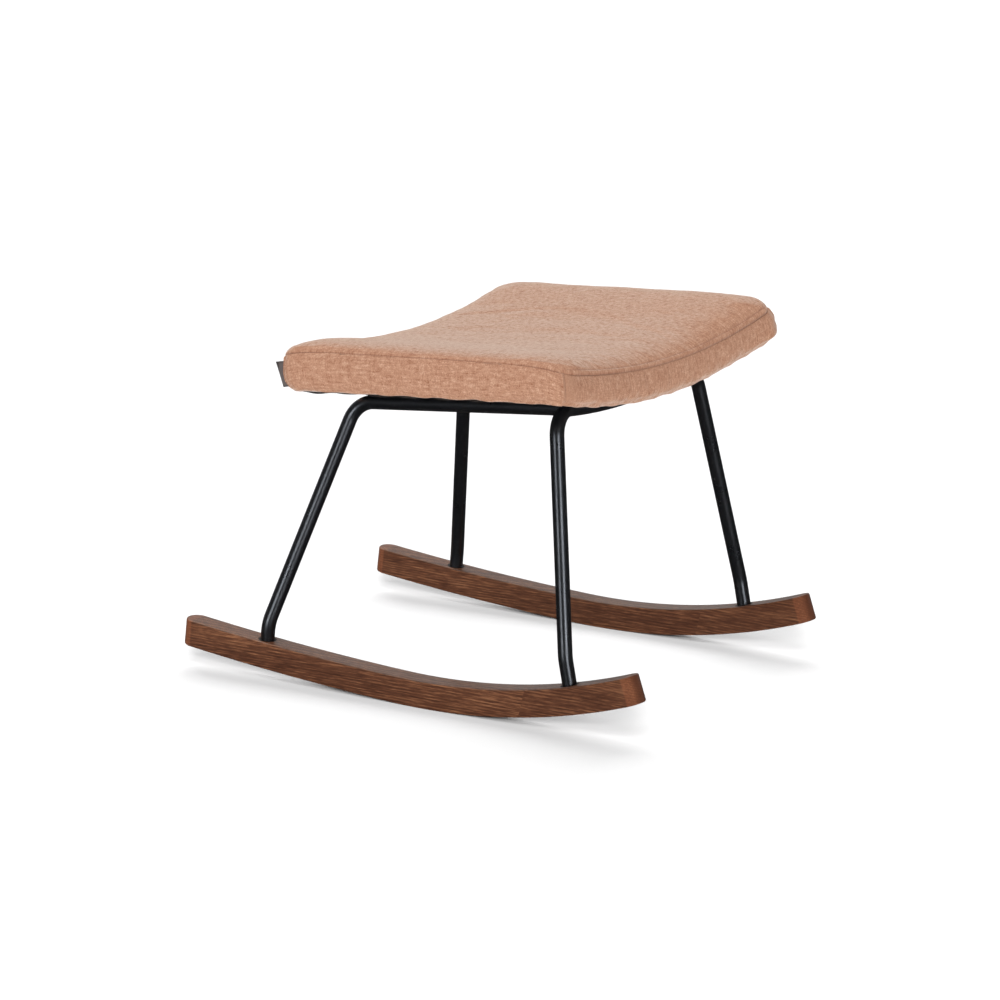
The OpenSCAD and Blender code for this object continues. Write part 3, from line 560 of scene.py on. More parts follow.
# The mesh of an object with its modifiers, as a new plain object
def settled(piece, name):
    bpy.context.view_layer.update()
    shown = piece.evaluated_get(bpy.context.evaluated_depsgraph_get())
    mesh = bpy.data.meshes.new_from_object(shown)
    mesh.name = name
    bpy.data.objects.remove(piece)
    return addObject(name, mesh)


def thicken(piece, name, thick, offset):
    wall = piece.modifiers.new("cloth", "SOLIDIFY")
    wall.thickness = thick * mm
    wall.offset = offset
    return settled(piece, name)


# Quads between closed rings of points
def ringFaces(rings, count):
    faces = []
    for start in range(0, (rings - 1) * count, count):
        for i in range(count):
            k = (i + 1) % count
            faces.append((start + i, start + k, start + count + k, start + count + i))
    return faces


# Quads of a grid of points
def gridFaces(rows, columns, base=0, turned=False):
    faces = []
    for i in range(rows - 1):
        for j in range(columns - 1):
            a = base + i * columns + j
            b = a + columns
            faces.append((a, a + 1, b + 1, b) if turned else (a, b, b + 1, a + 1))
    return faces


# Runs a tree of Geometry Nodes on a line of edges and keeps its plain mesh
def runTree(tree, name, points, sizes, arrows=None):
    mesh = bpy.data.meshes.new(name + "Path")
    mesh.from_pydata([tuple(p) for p in points], [(i, i + 1) for i in range(len(points) - 1)], [])
    if arrows is not None:
        kept = mesh.attributes.new("outward", "FLOAT_VECTOR", "POINT")
        kept.data.foreach_set("vector", np.asarray(arrows, dtype=np.float32).ravel())
    path = addObject(name + "Path", mesh)
    modifier = path.modifiers.new("build", "NODES")
    modifier.node_group = tree
    for item in tree.interface.items_tree:
        if item.in_out == "INPUT" and item.name in sizes:
            modifier[item.identifier] = sizes[item.name]
    return settled(path, name)


def endShapes(out, shapes, finish):
    whole = place(shapes.tree, "GeometryNodeRealizeInstances", {0: shapes})
    dressed = place(shapes.tree, "GeometryNodeSetMaterial", {"Geometry": whole, "Material": finish})
    endTree(out, {"Geometry": dressed})


# Middle of a leg's socket on top of a rocker, and the way up from it
def legAxis(side, s):
    a = rockerAngle(s)
    foot = rockerPoint(s, 0, rocker["depth"])
    foot.x = side * rocker["spacing"] / 2
    return foot, Vector((0, -math.sin(a), math.cos(a)))


def lathe(name, profile, foot, up, count=64):
    across = up.orthogonal().normalized()
    other = up.cross(across)
    points = []
    for r, h in profile:
        for i in range(count):
            a = 2 * math.pi * i / count
            points.append((foot + up * h + (across * math.cos(a) + other * math.sin(a)) * r) * mm)
    faces = ringFaces(len(profile), count)
    faces.append(tuple(range(count - 1, -1, -1)))
    last = (len(profile) - 1) * count
    faces.append(tuple(last + i for i in range(count)))
    return addPiece(name, points, faces, stainedAsh)


def makeRocker(side, name, node):
    r = rocker["edgeRound"]
    depth = rocker["depth"]
    half = rocker["width"] / 2
    front = -rocker["frontLength"]
    tail = rocker["tailLength"]
    turn = [math.radians(a) for a in (0, 22.5, 45, 67.5, 90)]
    # Half section from the middle of the underside to the middle of the top
    loop = [(0.0, 0), (half * 0.5, 0)]
    loop += [(half - (r - r * math.sin(a)), r - r * math.cos(a)) for a in turn]
    loop += [(half, depth / 2)]
    loop += [(half - (r - r * math.cos(a)), depth - r + r * math.sin(a)) for a in turn]
    loop += [(half * 0.5, depth), (0.0, depth)]
    ring = loop + [(-x, h) for x, h in reversed(loop[1:-1])]
    # Stations round the front end, along the underside and round the back end
    steps = rocker["endSteps"]
    quarter = [math.radians(90 * i / steps) for i in range(1, steps + 1)]
    fore = np.linspace(front, -rocker["restFlat"] / 2, rocker["frontSteps"] + 1)
    mid = np.linspace(rocker["restFlat"] / 2, rocker["tailStart"], rocker["flatSteps"] + 1)
    aft = np.linspace(rocker["tailStart"], tail, rocker["tailSteps"] + 1)[1:]
    stops = [(front, a, -1) for a in reversed(quarter)]
    stops += [(float(s), 0, 1) for s in (*fore, *mid, *aft)]
    stops += [(tail, a, 1) for a in quarter]
    points = []
    for s, a, way in stops:
        for x, h in ring:
            p = rockerPoint(s, way * abs(x) * math.sin(a), h)
            p.x = side * rocker["spacing"] / 2 + x * math.cos(a)
            points.append(p * mm)
    piece = addPiece(name, points, ringFaces(len(stops), len(ring)), stainedAsh)
    tidyMesh(piece)
    # Socket, screw hole and the hole for the screw's head
    socket = rocker["socketRadius"]
    mouth = socket + rocker["socketEdge"]
    head = rocker["headRadius"]
    screw = rocker["screwRadius"]
    deep = -rocker["socketDepth"]
    headTop = rocker["headDepth"] - depth
    profile = [
        (head, -depth - 1), (head, headTop), (screw, headTop), (screw, deep),
        (socket, deep), (socket, -rocker["socketEdge"]), (mouth, 0), (mouth, 1)]
    cutters = []
    for s in (rocker["frontLegAt"], rocker["backLegAt"]):
        cutter = lathe("cutter", profile, *legAxis(side, s))
        tidyMesh(cutter)
        cutters.append(cutter)
        cut = piece.modifiers.new("hole", "BOOLEAN")
        cut.operation = "DIFFERENCE"
        cut.solver = "EXACT"
        cut.object = cutter
    piece = settled(piece, name)
    for cutter in cutters:
        bpy.data.objects.remove(cutter)
    finishShade(piece.data, 28)
    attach(piece, "root")
    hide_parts(node)


# Seat: its own frame starts at the middle of the board's underside
seat = {
    "boardWidth": 455,
    "boardLength": 351,
    "boardCorner": 17,
    "dishRadius": 1040,
    "height": 330.5,
    "tilt": 3.8,
    "forward": 12.6,
}
coreX = seat["boardWidth"] / 2 - seat["boardCorner"]
coreY = seat["boardLength"] / 2 - seat["boardCorner"]


def fromSeat(points):
    p = np.asarray(points, dtype=float)
    t = math.radians(seat["tilt"])
    made = np.empty_like(p)
    made[..., 0] = p[..., 0]
    made[..., 1] = rocker["contact"] - seat["forward"] + p[..., 1] * math.cos(t) + p[..., 2] * math.sin(t)
    made[..., 2] = seat["height"] - p[..., 1] * math.sin(t) + p[..., 2] * math.cos(t)
    return made * mm


def dish(x, y, h):
    r = seat["dishRadius"]
    return np.stack([x, y, r - np.sqrt((r - h) ** 2 - x * x)], axis=-1)


# Frame tubes
tubes = {
    "diameter": 16,
    "sides": 48,
    "frontStub": 30,
    "frontStubLean": 1.4,
    "backStub": 19,
    "topBend": 30,
    "lowBend": 55,
    "frontTopSpacing": 305,
    "backTopSpacing": 226,
    "crossForward": 120,
    "cornerBack": 165,
    "strapBack": 133,
    "strapWidth": 25,
    "strapThick": 4,
    "underStack": 2.2,
    "crossRun": 1.15,
    "footSteps": 3,
    "lowSteps": 10,
    "topSteps": 24,
    "crossSteps": 39,
}


def makeSweepTree():
    tree, given, out = startTree("GeometryNodeTree", "sweepTube", {
        "Geometry": "Geometry", "Diameter": 0.016, "Sides": 48, "Finish": "Material"}, ["Geometry"])
    curve = place(tree, "GeometryNodeMeshToCurve", {"Mesh": given["Geometry"]})
    circle = place(tree, "GeometryNodeCurvePrimitiveCircle", {
        "Resolution": given["Sides"], "Radius": given["Diameter"] * 0.5})
    swept = place(tree, "GeometryNodeCurveToMesh", {
        "Curve": curve, "Profile Curve": circle, "Fill Caps": True})
    endShapes(out, swept, given["Finish"])
    return tree


sweepTree = makeSweepTree()


# Points of a round bend from the line a-b to the line b-c
def bendPoints(a, b, c, r, count):
    u = (b - a).normalized()
    v = (c - b).normalized()
    turn = math.acos(u.dot(v))
    m = (v - u * u.dot(v)).normalized()
    o = b - u * r * math.tan(turn / 2) + m * r
    shares = [turn * i / count for i in range(count + 1)]
    return [o - m * r * math.cos(a) + u * r * math.sin(a) for a in shares]


def seatPoint(x, y, z):
    return Vector(fromSeat(np.array([x, y, z]))) / mm


def mirrored(route):
    return [Vector((-p.x, p.y, p.z)) for p in route]


def frameRoutes():
    t = tubes
    dishR = seat["dishRadius"]
    crossR = dishR + t["underStack"] + t["diameter"] / 2
    run = t["crossRun"] * t["topBend"]
    crossA = math.asin((t["frontTopSpacing"] / 2 - run) / crossR)

    def onCross(a):
        return Vector((crossR * math.sin(a), -t["crossForward"], dishR - crossR * math.cos(a)))

    end = onCross(crossA)
    corner = end + Vector((math.cos(crossA), 0, math.sin(crossA))) * (run / math.cos(crossA))
    span = t["cornerBack"] + t["crossForward"]
    share = (t["strapBack"] - t["strapWidth"] / 2 + t["crossForward"]) / span
    railX = end.x + (t["backTopSpacing"] / 2 - end.x) * share
    below = -t["underStack"] - t["strapThick"] - t["diameter"] / 2
    railZ = dishR - math.sqrt((dishR - below) ** 2 - railX ** 2)
    back = Vector((t["backTopSpacing"] / 2, t["cornerBack"], end.z + (railZ - end.z) / share))
    frontFoot, frontUp = legAxis(1, rocker["frontLegAt"])
    backFoot, backUp = legAxis(1, rocker["backLegAt"])
    deep = rocker["socketDepth"]
    frontKnee = frontFoot + frontUp * t["frontStub"] - Vector((0, t["frontStubLean"], 0))
    backKnee = backFoot + backUp * t["backStub"]
    frontCorner = seatPoint(*corner)
    crossEnd = seatPoint(*end)
    backCorner = seatPoint(*back)
    half = [frontFoot - frontUp * deep]
    half += bendPoints(half[0], frontFoot, frontKnee, t["lowBend"], t["footSteps"])
    half += bendPoints(frontFoot, frontKnee, frontCorner, t["lowBend"], t["lowSteps"])
    half += bendPoints(frontKnee, frontCorner, crossEnd, t["topBend"], t["topSteps"])
    arc = [seatPoint(*onCross(a)) for a in np.linspace(crossA, -crossA, t["crossSteps"] + 1)]
    rail = [backFoot - backUp * deep]
    rail += bendPoints(rail[0], backKnee, backCorner, t["lowBend"], t["lowSteps"])
    rail += bendPoints(backKnee, backCorner, crossEnd, t["topBend"], t["topSteps"])
    return half + arc + mirrored(reversed(half)), rail + [crossEnd]


def sweep(route, name, node):
    kept = [route[0]]
    for p in route[1:]:
        if (p - kept[-1]).length > 0.05:
            kept.append(p)
    piece = runTree(sweepTree, name, [p * mm for p in kept], {
        "Diameter": tubes["diameter"] * mm, "Sides": tubes["sides"], "Finish": blackPaint})
    tidyMesh(piece)
    finishShade(piece.data, 40)
    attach(piece, "root")
    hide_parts(node)


def makeFrame():
    front, rail = frameRoutes()
    sweep(front, "frontFrame", "front_frame")
    sweep(rail, "backLegRight", "back_leg_right")
    sweep(mirrored(rail), "backLegLeft", "back_leg_left")
    print("frame tubes")


# Cushion cover: shape before and after the padding fills it
cushion = {
    "seamOut": 8.3,
    "seamHeight": 35.3,
    "seamDrop": 4.8,
    "seamBackRise": 3,
    "seamBow": 8.6,
    "bandOut": 1.5,
    "swell": 10.0,
    "sag": 2.6,
    "rightCornerSag": 4.2,
    "rightCornerSagReach": 60,
    "rightCornerSwell": 6.2,
    "rightCornerSwellReach": 45,
    "rightCornerFall": 3.6,
    "rightCornerFallReach": 62,
    "crown": 22.2,
    "crownBackRise": 4.8,
    "crownDrop": 0.6,
    "crownLean": 2.0,
    "squareness": 9.5,
    "roll": 0.6,
    "hemWidth": 26,
    "hemDrop": 1.5,
    "hemTuck": 8.0,
    "hemCornerShare": 0.3,
    "hemRow": 8,
    "clothThick": 1.1,
    "deflate": 2.6,
    "bandDeflate": 0.8,
    "seamHold": 0.5,
    "seamHoldReach": 5,
    "softenTop": 30,
    "softenBand": 14,
    "cap": 2.2,
    "puckers": 0.3,
    "coarseStep": 4.8,
    "fineStep": 2.7,
    "lipWidth": 2.4,
    "lipHeight": 0.8,
    "lipSides": 0.1,
    "lipStart": 0.86,
    "lipRamp": 0.1,
    "lipFade": 11,
    "lipFlatness": 0.45,
    "grooveDepth": 0.38,
    "stitchLine": 0.2,
    "stitchDepth": 0.55,
    "cornerRidge": 1.4,
    "rowRun": 6.0,
    "staplePitch": 42,
    "stapleRow": 7.3,
    "scallop": 0.5,
}
# Height and length of the top's soft waves. The last ones stand along the seam only.
waves = {
    "wide": (0.8, 60),
    "middle": (0.3, 23),
    "seam": (0.3, 17),
    "seamReach": 16,
}
filling = {
    "quality": 6,
    "mass": 0.3,
    "tension_stiffness": 25,
    "compression_stiffness": 25,
    "shear_stiffness": 12,
    "bending_stiffness": 0.6,
    "use_pressure": True,
    "uniform_pressure_force": 4,
    "shrink_min": -0.02,
}
fillFrames = 20
seamX = seat["boardWidth"] / 2 + cushion["seamOut"]
seamY = seat["boardLength"] / 2 + cushion["seamOut"]
squareHalf = 200


def bell(distance, width):
    return np.exp(-(distance / width) ** 2)


# A point of the outline from a place on the square with corners at 1 and -1:
# x, y, the outward direction, and the distance from the nearest corner seam
def outline(bu, bv):
    halfArc = math.pi / 4 * (seat["boardCorner"] + cushion["seamOut"])
    onX = np.abs(bv) >= np.abs(bu)
    main = np.where(onX, bu, bv)
    core = np.where(onX, coreX, coreY)
    straight = core / (core + halfArc)
    size = np.abs(main)
    away = np.clip((size - straight) / (1 - straight), 0, 1) * math.pi / 4
    run = np.minimum(size / straight, 1) * core * np.sign(main)
    cx = np.where(onX, run, np.sign(bu) * coreX)
    cy = np.where(onX, np.sign(bv) * coreY, run)
    nx = np.where(onX, np.sign(main) * np.sin(away), np.sign(bu) * np.cos(away))
    ny = np.where(onX, np.sign(bv) * np.cos(away), np.sign(main) * np.sin(away))
    corner = (1 - size) * (core + halfArc)
    return cx, cy, nx, ny, corner


# The whole square as a grid: k is 0 in its middle and 1 on the outline
def squareGrid(shares):
    u, v = np.meshgrid(shares, shares, indexing="ij")
    k = np.maximum(np.abs(u), np.abs(v))
    safe = np.maximum(k, 1e-6)
    return k, *outline(u / safe, v / safe)


def seamHeight(x, y):
    c = cushion
    return (c["seamHeight"] - c["seamDrop"] * (x / seamX) ** 2 + c["seamBackRise"] * y / seamY
        + c["seamBow"] * (1 - (y / seamY) ** 6) * (x / seamX) ** 4)


def crownTop(x, y):
    c = cushion
    return (c["seamHeight"] + c["crown"] - c["crownDrop"] * (x / seamX) ** 2
        + c["crownLean"] * x / seamX + c["crownBackRise"] * y / seamY)


def topShape(shares, sink):
    c = cushion
    k, cx, cy, nx, ny, corner = squareGrid(shares)
    ox = cx + (seat["boardCorner"] + c["seamOut"]) * nx
    oy = cy + (seat["boardCorner"] + c["seamOut"]) * ny
    x = k * ox
    y = k * oy
    rise = (1 - k ** c["squareness"]) ** c["roll"]
    low = seamHeight(x, y)
    fall = c["rightCornerFall"] * bell(np.hypot(x - seamX, y + seamY), c["rightCornerFallReach"])
    h = low + (crownTop(x, y) - fall - low - sink) * rise
    inside = (1 - k) * (ox * nx + oy * ny)
    return {"at": dish(x, y, h), "inside": inside, "x": x, "y": y, "corner": corner * k}


# Stations round the edge of that square, from the front left corner
def edgeShares(shares):
    count = len(shares) - 1
    rise = list(shares[:count])
    fall = list(shares[:0:-1])
    one = [1.0] * count
    bu = rise + one + fall + [-1.0] * count
    bv = [-1.0] * count + rise + one + fall
    steps = range(count)
    index = [(i, 0) for i in steps] + [(count, i) for i in steps]
    index += [(count - i, count) for i in steps] + [(0, count - i) for i in steps]
    return np.array(bu), np.array(bv), index


# Smooth line through control values, read at fractional places
def through(values, spot):
    values = np.asarray(values)
    last = len(values) - 1
    i = np.clip(np.floor(spot).astype(int), 0, last - 1)
    a = values[np.maximum(i - 1, 0)]
    b = values[i]
    c = values[i + 1]
    d = values[np.minimum(i + 2, last)]
    t = (spot - i).reshape(i.shape + (1,) * (values.ndim - 1))
    bend = (2 * a - 5 * b + 4 * c - d) * t ** 2
    return 0.5 * (2 * b + (c - a) * t + bend + (3 * b - a - 3 * c + d) * t ** 3)


# Side band and hem: rows from the seam down and under the board
def sideShape(shares, rows, sink):
    c = cushion
    bu, bv, index = edgeShares(shares)
    cx, cy, nx, ny, corner = outline(bu, bv)
    r = seat["boardCorner"]
    ex = cx + r * nx
    ey = cy + r * ny
    high = seamHeight(ex + c["seamOut"] * nx, ey + c["seamOut"] * ny)
    fore = (1 - ey / seamY) / 2
    fromRight = np.hypot(ex - seamX, ey + seamY)
    sag = c["sag"] * fore ** 2 + c["rightCornerSag"] * bell(fromRight, c["rightCornerSagReach"])
    low = -c["hemDrop"]
    # The front hangs fuller and straighter than the back
    slack = fore ** 2
    bulge = c["rightCornerSwell"] * bell(fromRight, c["rightCornerSwellReach"])
    outs = [
        0.68, 0.86, 0.97, 1.0, 0.86 + 0.08 * slack, 0.52 + 0.25 * slack,
        0.14 + 0.3 * slack, -0.1 + 0.15 * slack, -0.45]
    ups = [1.0, 0.84, 0.66, 0.46, 0.27, 0.12, 0.03]
    drops = [1.0, 0.7]
    fuller = [0, 0.5, 0.9, 1, 1.4, 1.6, 1.2, 0, 0]
    line = []
    band = len(ups)
    for i, share in enumerate(outs):
        o = c["bandOut"] + c["swell"] * share + bulge * fuller[i]
        if 0 < i < band:
            o = o - sink * c["bandDeflate"]
        h = low + (high - low) * ups[i] if i < band else low - sag * drops[i - band]
        if i == 0:
            h = high
        line.append((ex + o * nx, ey + o * ny, h + 0 * ex))
    line.append((ex - c["hemTuck"] * nx, ey - c["hemTuck"] * ny, low + 0 * ex))
    # The hem's inner edge has its own small corner radius
    hemR = r * c["hemCornerShare"]
    innerX = seat["boardWidth"] / 2 - c["hemWidth"] - hemR
    innerY = seat["boardLength"] / 2 - c["hemWidth"] - hemR
    line.append((cx * innerX / coreX + hemR * nx, cy * innerY / coreY + hemR * ny, low + 0 * ex))
    control = np.array([np.stack(p, axis=-1) for p in line])
    made = through(control, np.asarray(rows, dtype=float))
    at = dish(made[..., 0], made[..., 1], made[..., 2])
    corner = np.broadcast_to(corner, made.shape[:2])
    return {"at": at, "corner": corner, "nx": nx, "ny": ny, "ex": ex, "ey": ey, "index": index}


# The top grid and the side rows as one list of points and quads. A kind is 0 for the top
# and 1 to 4 for the front, right, back and left.
def joinShapes(top, side, index):
    n = top.shape[0]
    count = len(index)
    points = np.concatenate([top.reshape(-1, 3), side[1:].reshape(-1, 3)])
    faces = gridFaces(n, n)
    kinds = [0] * len(faces)
    above = [a * n + b for a, b in index]
    for row in range(side.shape[0] - 1):
        below = [n * n + row * count + i for i in range(count)]
        for i in range(count):
            k = (i + 1) % count
            faces.append((below[i], below[k], above[k], above[i]))
            kinds.append(1 + i // (count // 4))
        above = below
    return points, faces, kinds


# Displacement of a filled cover from a slightly smaller one, by cloth simulation
def fillCover(shares, rows):
    top = topShape(shares, cushion["deflate"])
    side = sideShape(shares, rows, cushion["deflate"])
    points, faces, kinds = joinShapes(top["at"], side["at"], side["index"])
    start = fromSeat(points)
    work = addPiece("coverFilling", start, faces, coverCloth)
    # Held along the top seam and at the hem, and a little at the corner seams
    hold = work.vertex_groups.new(name="hold")
    n = len(shares)
    count = len(side["index"])
    weights = np.zeros(len(points))
    for a, b in side["index"]:
        weights[a * n + b] = 1
    for r, row in enumerate(rows[1:]):
        begin = n * n + r * count
        atCorner = cushion["seamHold"] * bell(side["corner"][r + 1], cushion["seamHoldReach"])
        weights[begin:begin + count] = 1 if row >= cushion["hemRow"] else atCorner
    for i, w in enumerate(weights):
        if w > 0.02:
            hold.add([i], float(w), "REPLACE")
    cloth = work.modifiers.new("filling", "CLOTH")
    for key, value in filling.items():
        setattr(cloth.settings, key, value)
    cloth.settings.vertex_group_mass = "hold"
    cloth.settings.effector_weights.gravity = 0
    cloth.point_cache.frame_start = 1
    cloth.point_cache.frame_end = fillFrames
    for f in range(1, fillFrames + 1):
        bpy.context.scene.frame_set(f)
    shown = work.evaluated_get(bpy.context.evaluated_depsgraph_get())
    moved = np.zeros(len(points) * 3)
    shown.data.vertices.foreach_get("co", moved)
    moved = moved.reshape(-1, 3)
    bpy.context.scene.frame_set(1)
    bpy.data.objects.remove(work)
    size = np.linalg.norm(moved - start, axis=1) / mm
    print("cover filled, largest move", round(size.max(), 1), "mm, mean", round(size.mean(), 2), "mm")
    topMoved = moved[:n * n].reshape(n, n, 3)
    rim = np.array([topMoved[a, b] for a, b in side["index"]])
    sideMoved = np.concatenate([rim[None], moved[n * n:].reshape(len(rows) - 1, count, 3)])
    topFull = fromSeat(topShape(shares, 0)["at"])
    sideFull = fromSeat(sideShape(shares, rows, 0)["at"])
    topShift = puckers(topMoved, topFull, cushion["softenTop"], False)
    return topShift, puckers(sideMoved, sideFull, cushion["softenBand"], True)


# Smoothed copy of a grid of moves
def soften(grid, passes, ring):
    for i in range(passes):
        tall = np.concatenate([grid[:1], grid, grid[-1:]])
        grid = (tall[:-2] + 2 * tall[1:-1] + tall[2:]) / 4
        before = grid[:, -1:] if ring else grid[:, :1]
        after = grid[:, :1] if ring else grid[:, -1:]
        wide = np.concatenate([before, grid, after], axis=1)
        grid = (wide[:, :-2] + 2 * wide[:, 1:-1] + wide[:, 2:]) / 4
    return grid


# What the simulation adds in puckers and folds, without its slow swelling, and capped
def puckers(moved, full, passes, ring):
    shift = moved - full
    fine = shift - soften(shift, passes, ring)
    size = np.linalg.norm(fine, axis=-1, keepdims=True)
    most = cushion["cap"] * mm
    return fine * np.tanh(size / most) * most / np.maximum(size, 1e-9) * cushion["puckers"]


def readTop(grid, coarse, fine):
    spots = np.interp(fine, coarse, np.arange(len(coarse)))
    first = through(grid, spots)
    return np.swapaxes(through(np.swapaxes(first, 0, 1), spots), 0, 1)


def readSide(grid, coarse, fine, coarseRows, fineRows):
    rows = through(grid, np.interp(fineRows, coarseRows, np.arange(len(coarseRows))))
    turned = np.swapaxes(rows, 0, 1)
    turned = np.concatenate([turned, turned[:1]])
    count = len(coarse) - 1
    fineSpots = np.interp(fine, coarse, np.arange(len(coarse)))[:-1]
    backSpots = count - np.interp(np.flip(fine), coarse, np.arange(len(coarse)))[:-1]
    spots = np.concatenate([fineSpots, fineSpots + count, backSpots + 2 * count, backSpots + 3 * count])
    return np.swapaxes(through(turned, spots), 0, 1)


# Stations from -1 to 1, at the first places in mm from each end and then at even steps
def makeShares(first, step):
    edge = [0.0] + first
    rest = squareHalf - edge[-1]
    extra = max(2, int(round(rest / step)))
    edge += [edge[-1] + rest * (i + 1) / extra for i in range(extra)]
    half = np.array([-1 + d / squareHalf for d in edge])
    return np.concatenate([half, -half[-2::-1]])


def wobble(x, y, z, size):
    return noise.noise(Vector((x / size, y / size, z)))


# On the front and the back the seam allowance lies under the top, so a flat lip stands there
def lipShare(y, corner):
    c = cushion
    ramp = np.clip((np.abs(y) / seamY - c["lipStart"]) / c["lipRamp"], 0, 1)
    onEnds = c["lipSides"] + (1 - c["lipSides"]) * ramp
    return onEnds * (1 - 0.85 * bell(corner, c["lipFade"]))


def seamGroove(away, width, corner):
    return cushion["grooveDepth"] * bell(away, width) * (1 - 0.6 * bell(corner, cushion["lipFade"]))


# How far the top stands out at each point, and how much painted shade its seams get
def topRelief(top):
    c = cushion
    inside = top["inside"]
    fromStitches = inside - c["lipWidth"] - c["stitchLine"]
    standing = lipShare(top["y"], top["corner"])
    lip = np.sin(math.pi * np.clip(inside / c["lipWidth"], 0, 1))
    lip = np.clip(lip, 0, 1) ** c["lipFlatness"] * c["lipHeight"] * standing
    stitched = c["stitchDepth"] * standing * bell(fromStitches, 0.5)
    high, length = zip(waves["wide"], waves["middle"], waves["seam"])
    soft = np.zeros(inside.shape)
    for at in np.ndindex(inside.shape):
        x = top["x"][at]
        y = top["y"][at]
        fade = math.exp(-inside[at] / waves["seamReach"])
        soft[at] = high[0] * wobble(x, y, 3.1, length[0])
        soft[at] += high[1] * wobble(x, y, 7.7, length[1]) * (0.3 + fade)
        soft[at] += high[2] * fade * wobble(x * 2.0, y * 2.0, 1.3, length[2])
    push = lip - seamGroove(inside, 0.5, top["corner"]) - stitched + soft * np.clip(inside / 6, 0, 1)
    # Painted shade in the seam groove and along the stitched dent
    shade = (0.3 + 0.3 * standing) * bell(inside, 0.42) + 0.2 * standing * bell(fromStitches, 0.4)
    return push, shade


# The same for the side band: groove, corner ridge, soft unevenness, and scallops where the
# staples pull
def sideRelief(side, rows):
    c = cushion
    ex = side["ex"]
    ey = side["ey"]
    along = np.where(np.abs(side["ny"]) > np.abs(side["nx"]), ex, ey)
    pushes = []
    shades = []

    def uneven(z, size):
        return np.array([wobble(x, y, z, size) for x, y in zip(ex, ey)])

    for row, corner in zip(rows, side["corner"]):
        down = row * c["rowRun"]
        ridge = c["cornerRidge"] * bell(corner, 1.2) - 0.6 * bell(corner - 2.6, 0.9)
        ridge = ridge * np.clip(row / 0.3, 0, 1) * np.clip((6.4 - row) / 2.4, 0, 1)
        soft = uneven(row * 0.35, 34) * 0.6 + uneven(row * 0.5 + 5, 13) * 0.2
        calm = min(1, row / 0.8) * (1 if row < 8.6 else 0.15)
        scallop = c["scallop"] * np.cos(2 * math.pi * along / c["staplePitch"]) + 0.6 * uneven(9.1, 21)
        groove = seamGroove(down, 0.9, corner)
        pushes.append(ridge + soft * calm + scallop * bell(row - c["stapleRow"], 1.1) - groove)
        # Painted shade in the seam groove and beside the corner ridge
        shade = (0.3 + 0.3 * lipShare(ey, corner)) * bell(down, 0.6)
        shades.append(shade + 0.3 * bell(corner - 2.2, 0.7) * (row < 6))
    return pushes, shades


# Cloth coordinates in metres, with the warp from front to back on every panel. The panels
# of the two ends lie apart from the top's.
def clothPlaces(top, side, rows):
    ex = side["ex"]
    ey = side["ey"]
    nx = side["nx"]
    ny = side["ny"]
    onEnds = np.abs(ny) > np.abs(nx)
    made = [np.stack([top["x"].ravel(), top["y"].ravel()], axis=-1)]
    for run in np.interp(rows, [0, 6, 8, 9, 10], [0, 40, 46, 54, 72])[1:]:
        u = np.where(onEnds, ex + nx * 6 + 600 * ny, ex + run * np.sign(nx))
        v = np.where(onEnds, ey + run * np.sign(ny), ey + ny * 6)
        made.append(np.stack([u, v], axis=-1))
    return np.concatenate(made) * mm


coverPanels = {
    "coverTop": ["top_panel", "top_welt"],
    "coverFront": ["band_front"],
    "coverRight": ["band_right"],
    "coverBack": ["band_back"],
    "coverLeft": ["band_left"],
}


def makeCover():
    coarse = makeShares([], cushion["coarseStep"])
    coarseRows = np.array([
        0, 0.5, 1, 1.6, 2.2, 2.8, 3.4, 4, 4.6, 5.2, 5.8, 6.4, 7, 7.6, 8.2, 8.6, 9, 9.35, 9.7, 10])
    nearSeam = [0.45, 0.9, 1.4, 2.0, 2.8, 3.8, 4.8, 5.6, 6.2, 6.8, 7.6, 9.0, 11.0, 13.4]
    fine = makeShares(nearSeam, cushion["fineStep"])
    fineRows = np.concatenate([
        [0, 0.06, 0.13, 0.22, 0.34, 0.5, 0.7], np.arange(1, 9.01, 0.25), np.arange(9.2, 10.01, 0.2)])
    top = topShape(fine, 0)
    side = sideShape(fine, fineRows, 0)
    topAt = fromSeat(top["at"])
    sideAt = fromSeat(side["at"])
    topShift, sideShift = fillCover(coarse, coarseRows)
    topAt = topAt + readTop(topShift, coarse, fine)
    sideAt = sideAt + readSide(sideShift, coarse, fine, coarseRows, fineRows)
    points, faces, kinds = joinShapes(topAt, sideAt, side["index"])
    # Outward directions of the filled cover
    probe = addPiece("coverProbe", points, faces, coverCloth)
    normals = np.zeros(len(points) * 3)
    probe.data.vertices.foreach_get("normal", normals)
    normals = normals.reshape(-1, 3)
    bpy.data.objects.remove(probe)
    topPush, topShade = topRelief(top)
    sidePush, sideShade = sideRelief(side, fineRows)
    push = np.concatenate([topPush.ravel()] + sidePush[1:])
    shade = np.concatenate([topShade.ravel()] + sideShade[1:])
    points = points + normals * push[:, None] * mm
    uv = clothPlaces(top, side, fineRows)
    kinds = np.array(kinds)
    faces = np.array(faces)
    for kind, (name, stand) in enumerate(coverPanels.items()):
        own = faces[kinds == kind]
        used, where = np.unique(own.ravel(), return_inverse=True)
        piece = addPiece(name, points[used], where.reshape(own.shape), coverCloth, uv[used], 70, shade[used])
        piece = thicken(piece, name, cushion["clothThick"], -1)
        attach(piece, "root")
        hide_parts(*stand)
        print(name, len(piece.data.polygons), "faces")
    n = len(fine)
    topPoints = points[:n * n].reshape(n, n, 3)
    topNormals = normals[:n * n].reshape(n, n, 3)
    return {"top": topPoints, "normals": topNormals, "shares": fine}


core = {
    "inset": 4.0,
    "topDown": 1.5,
    "boardTop": 12.4,
    "boardIn": 1,
    "step": 9,
}


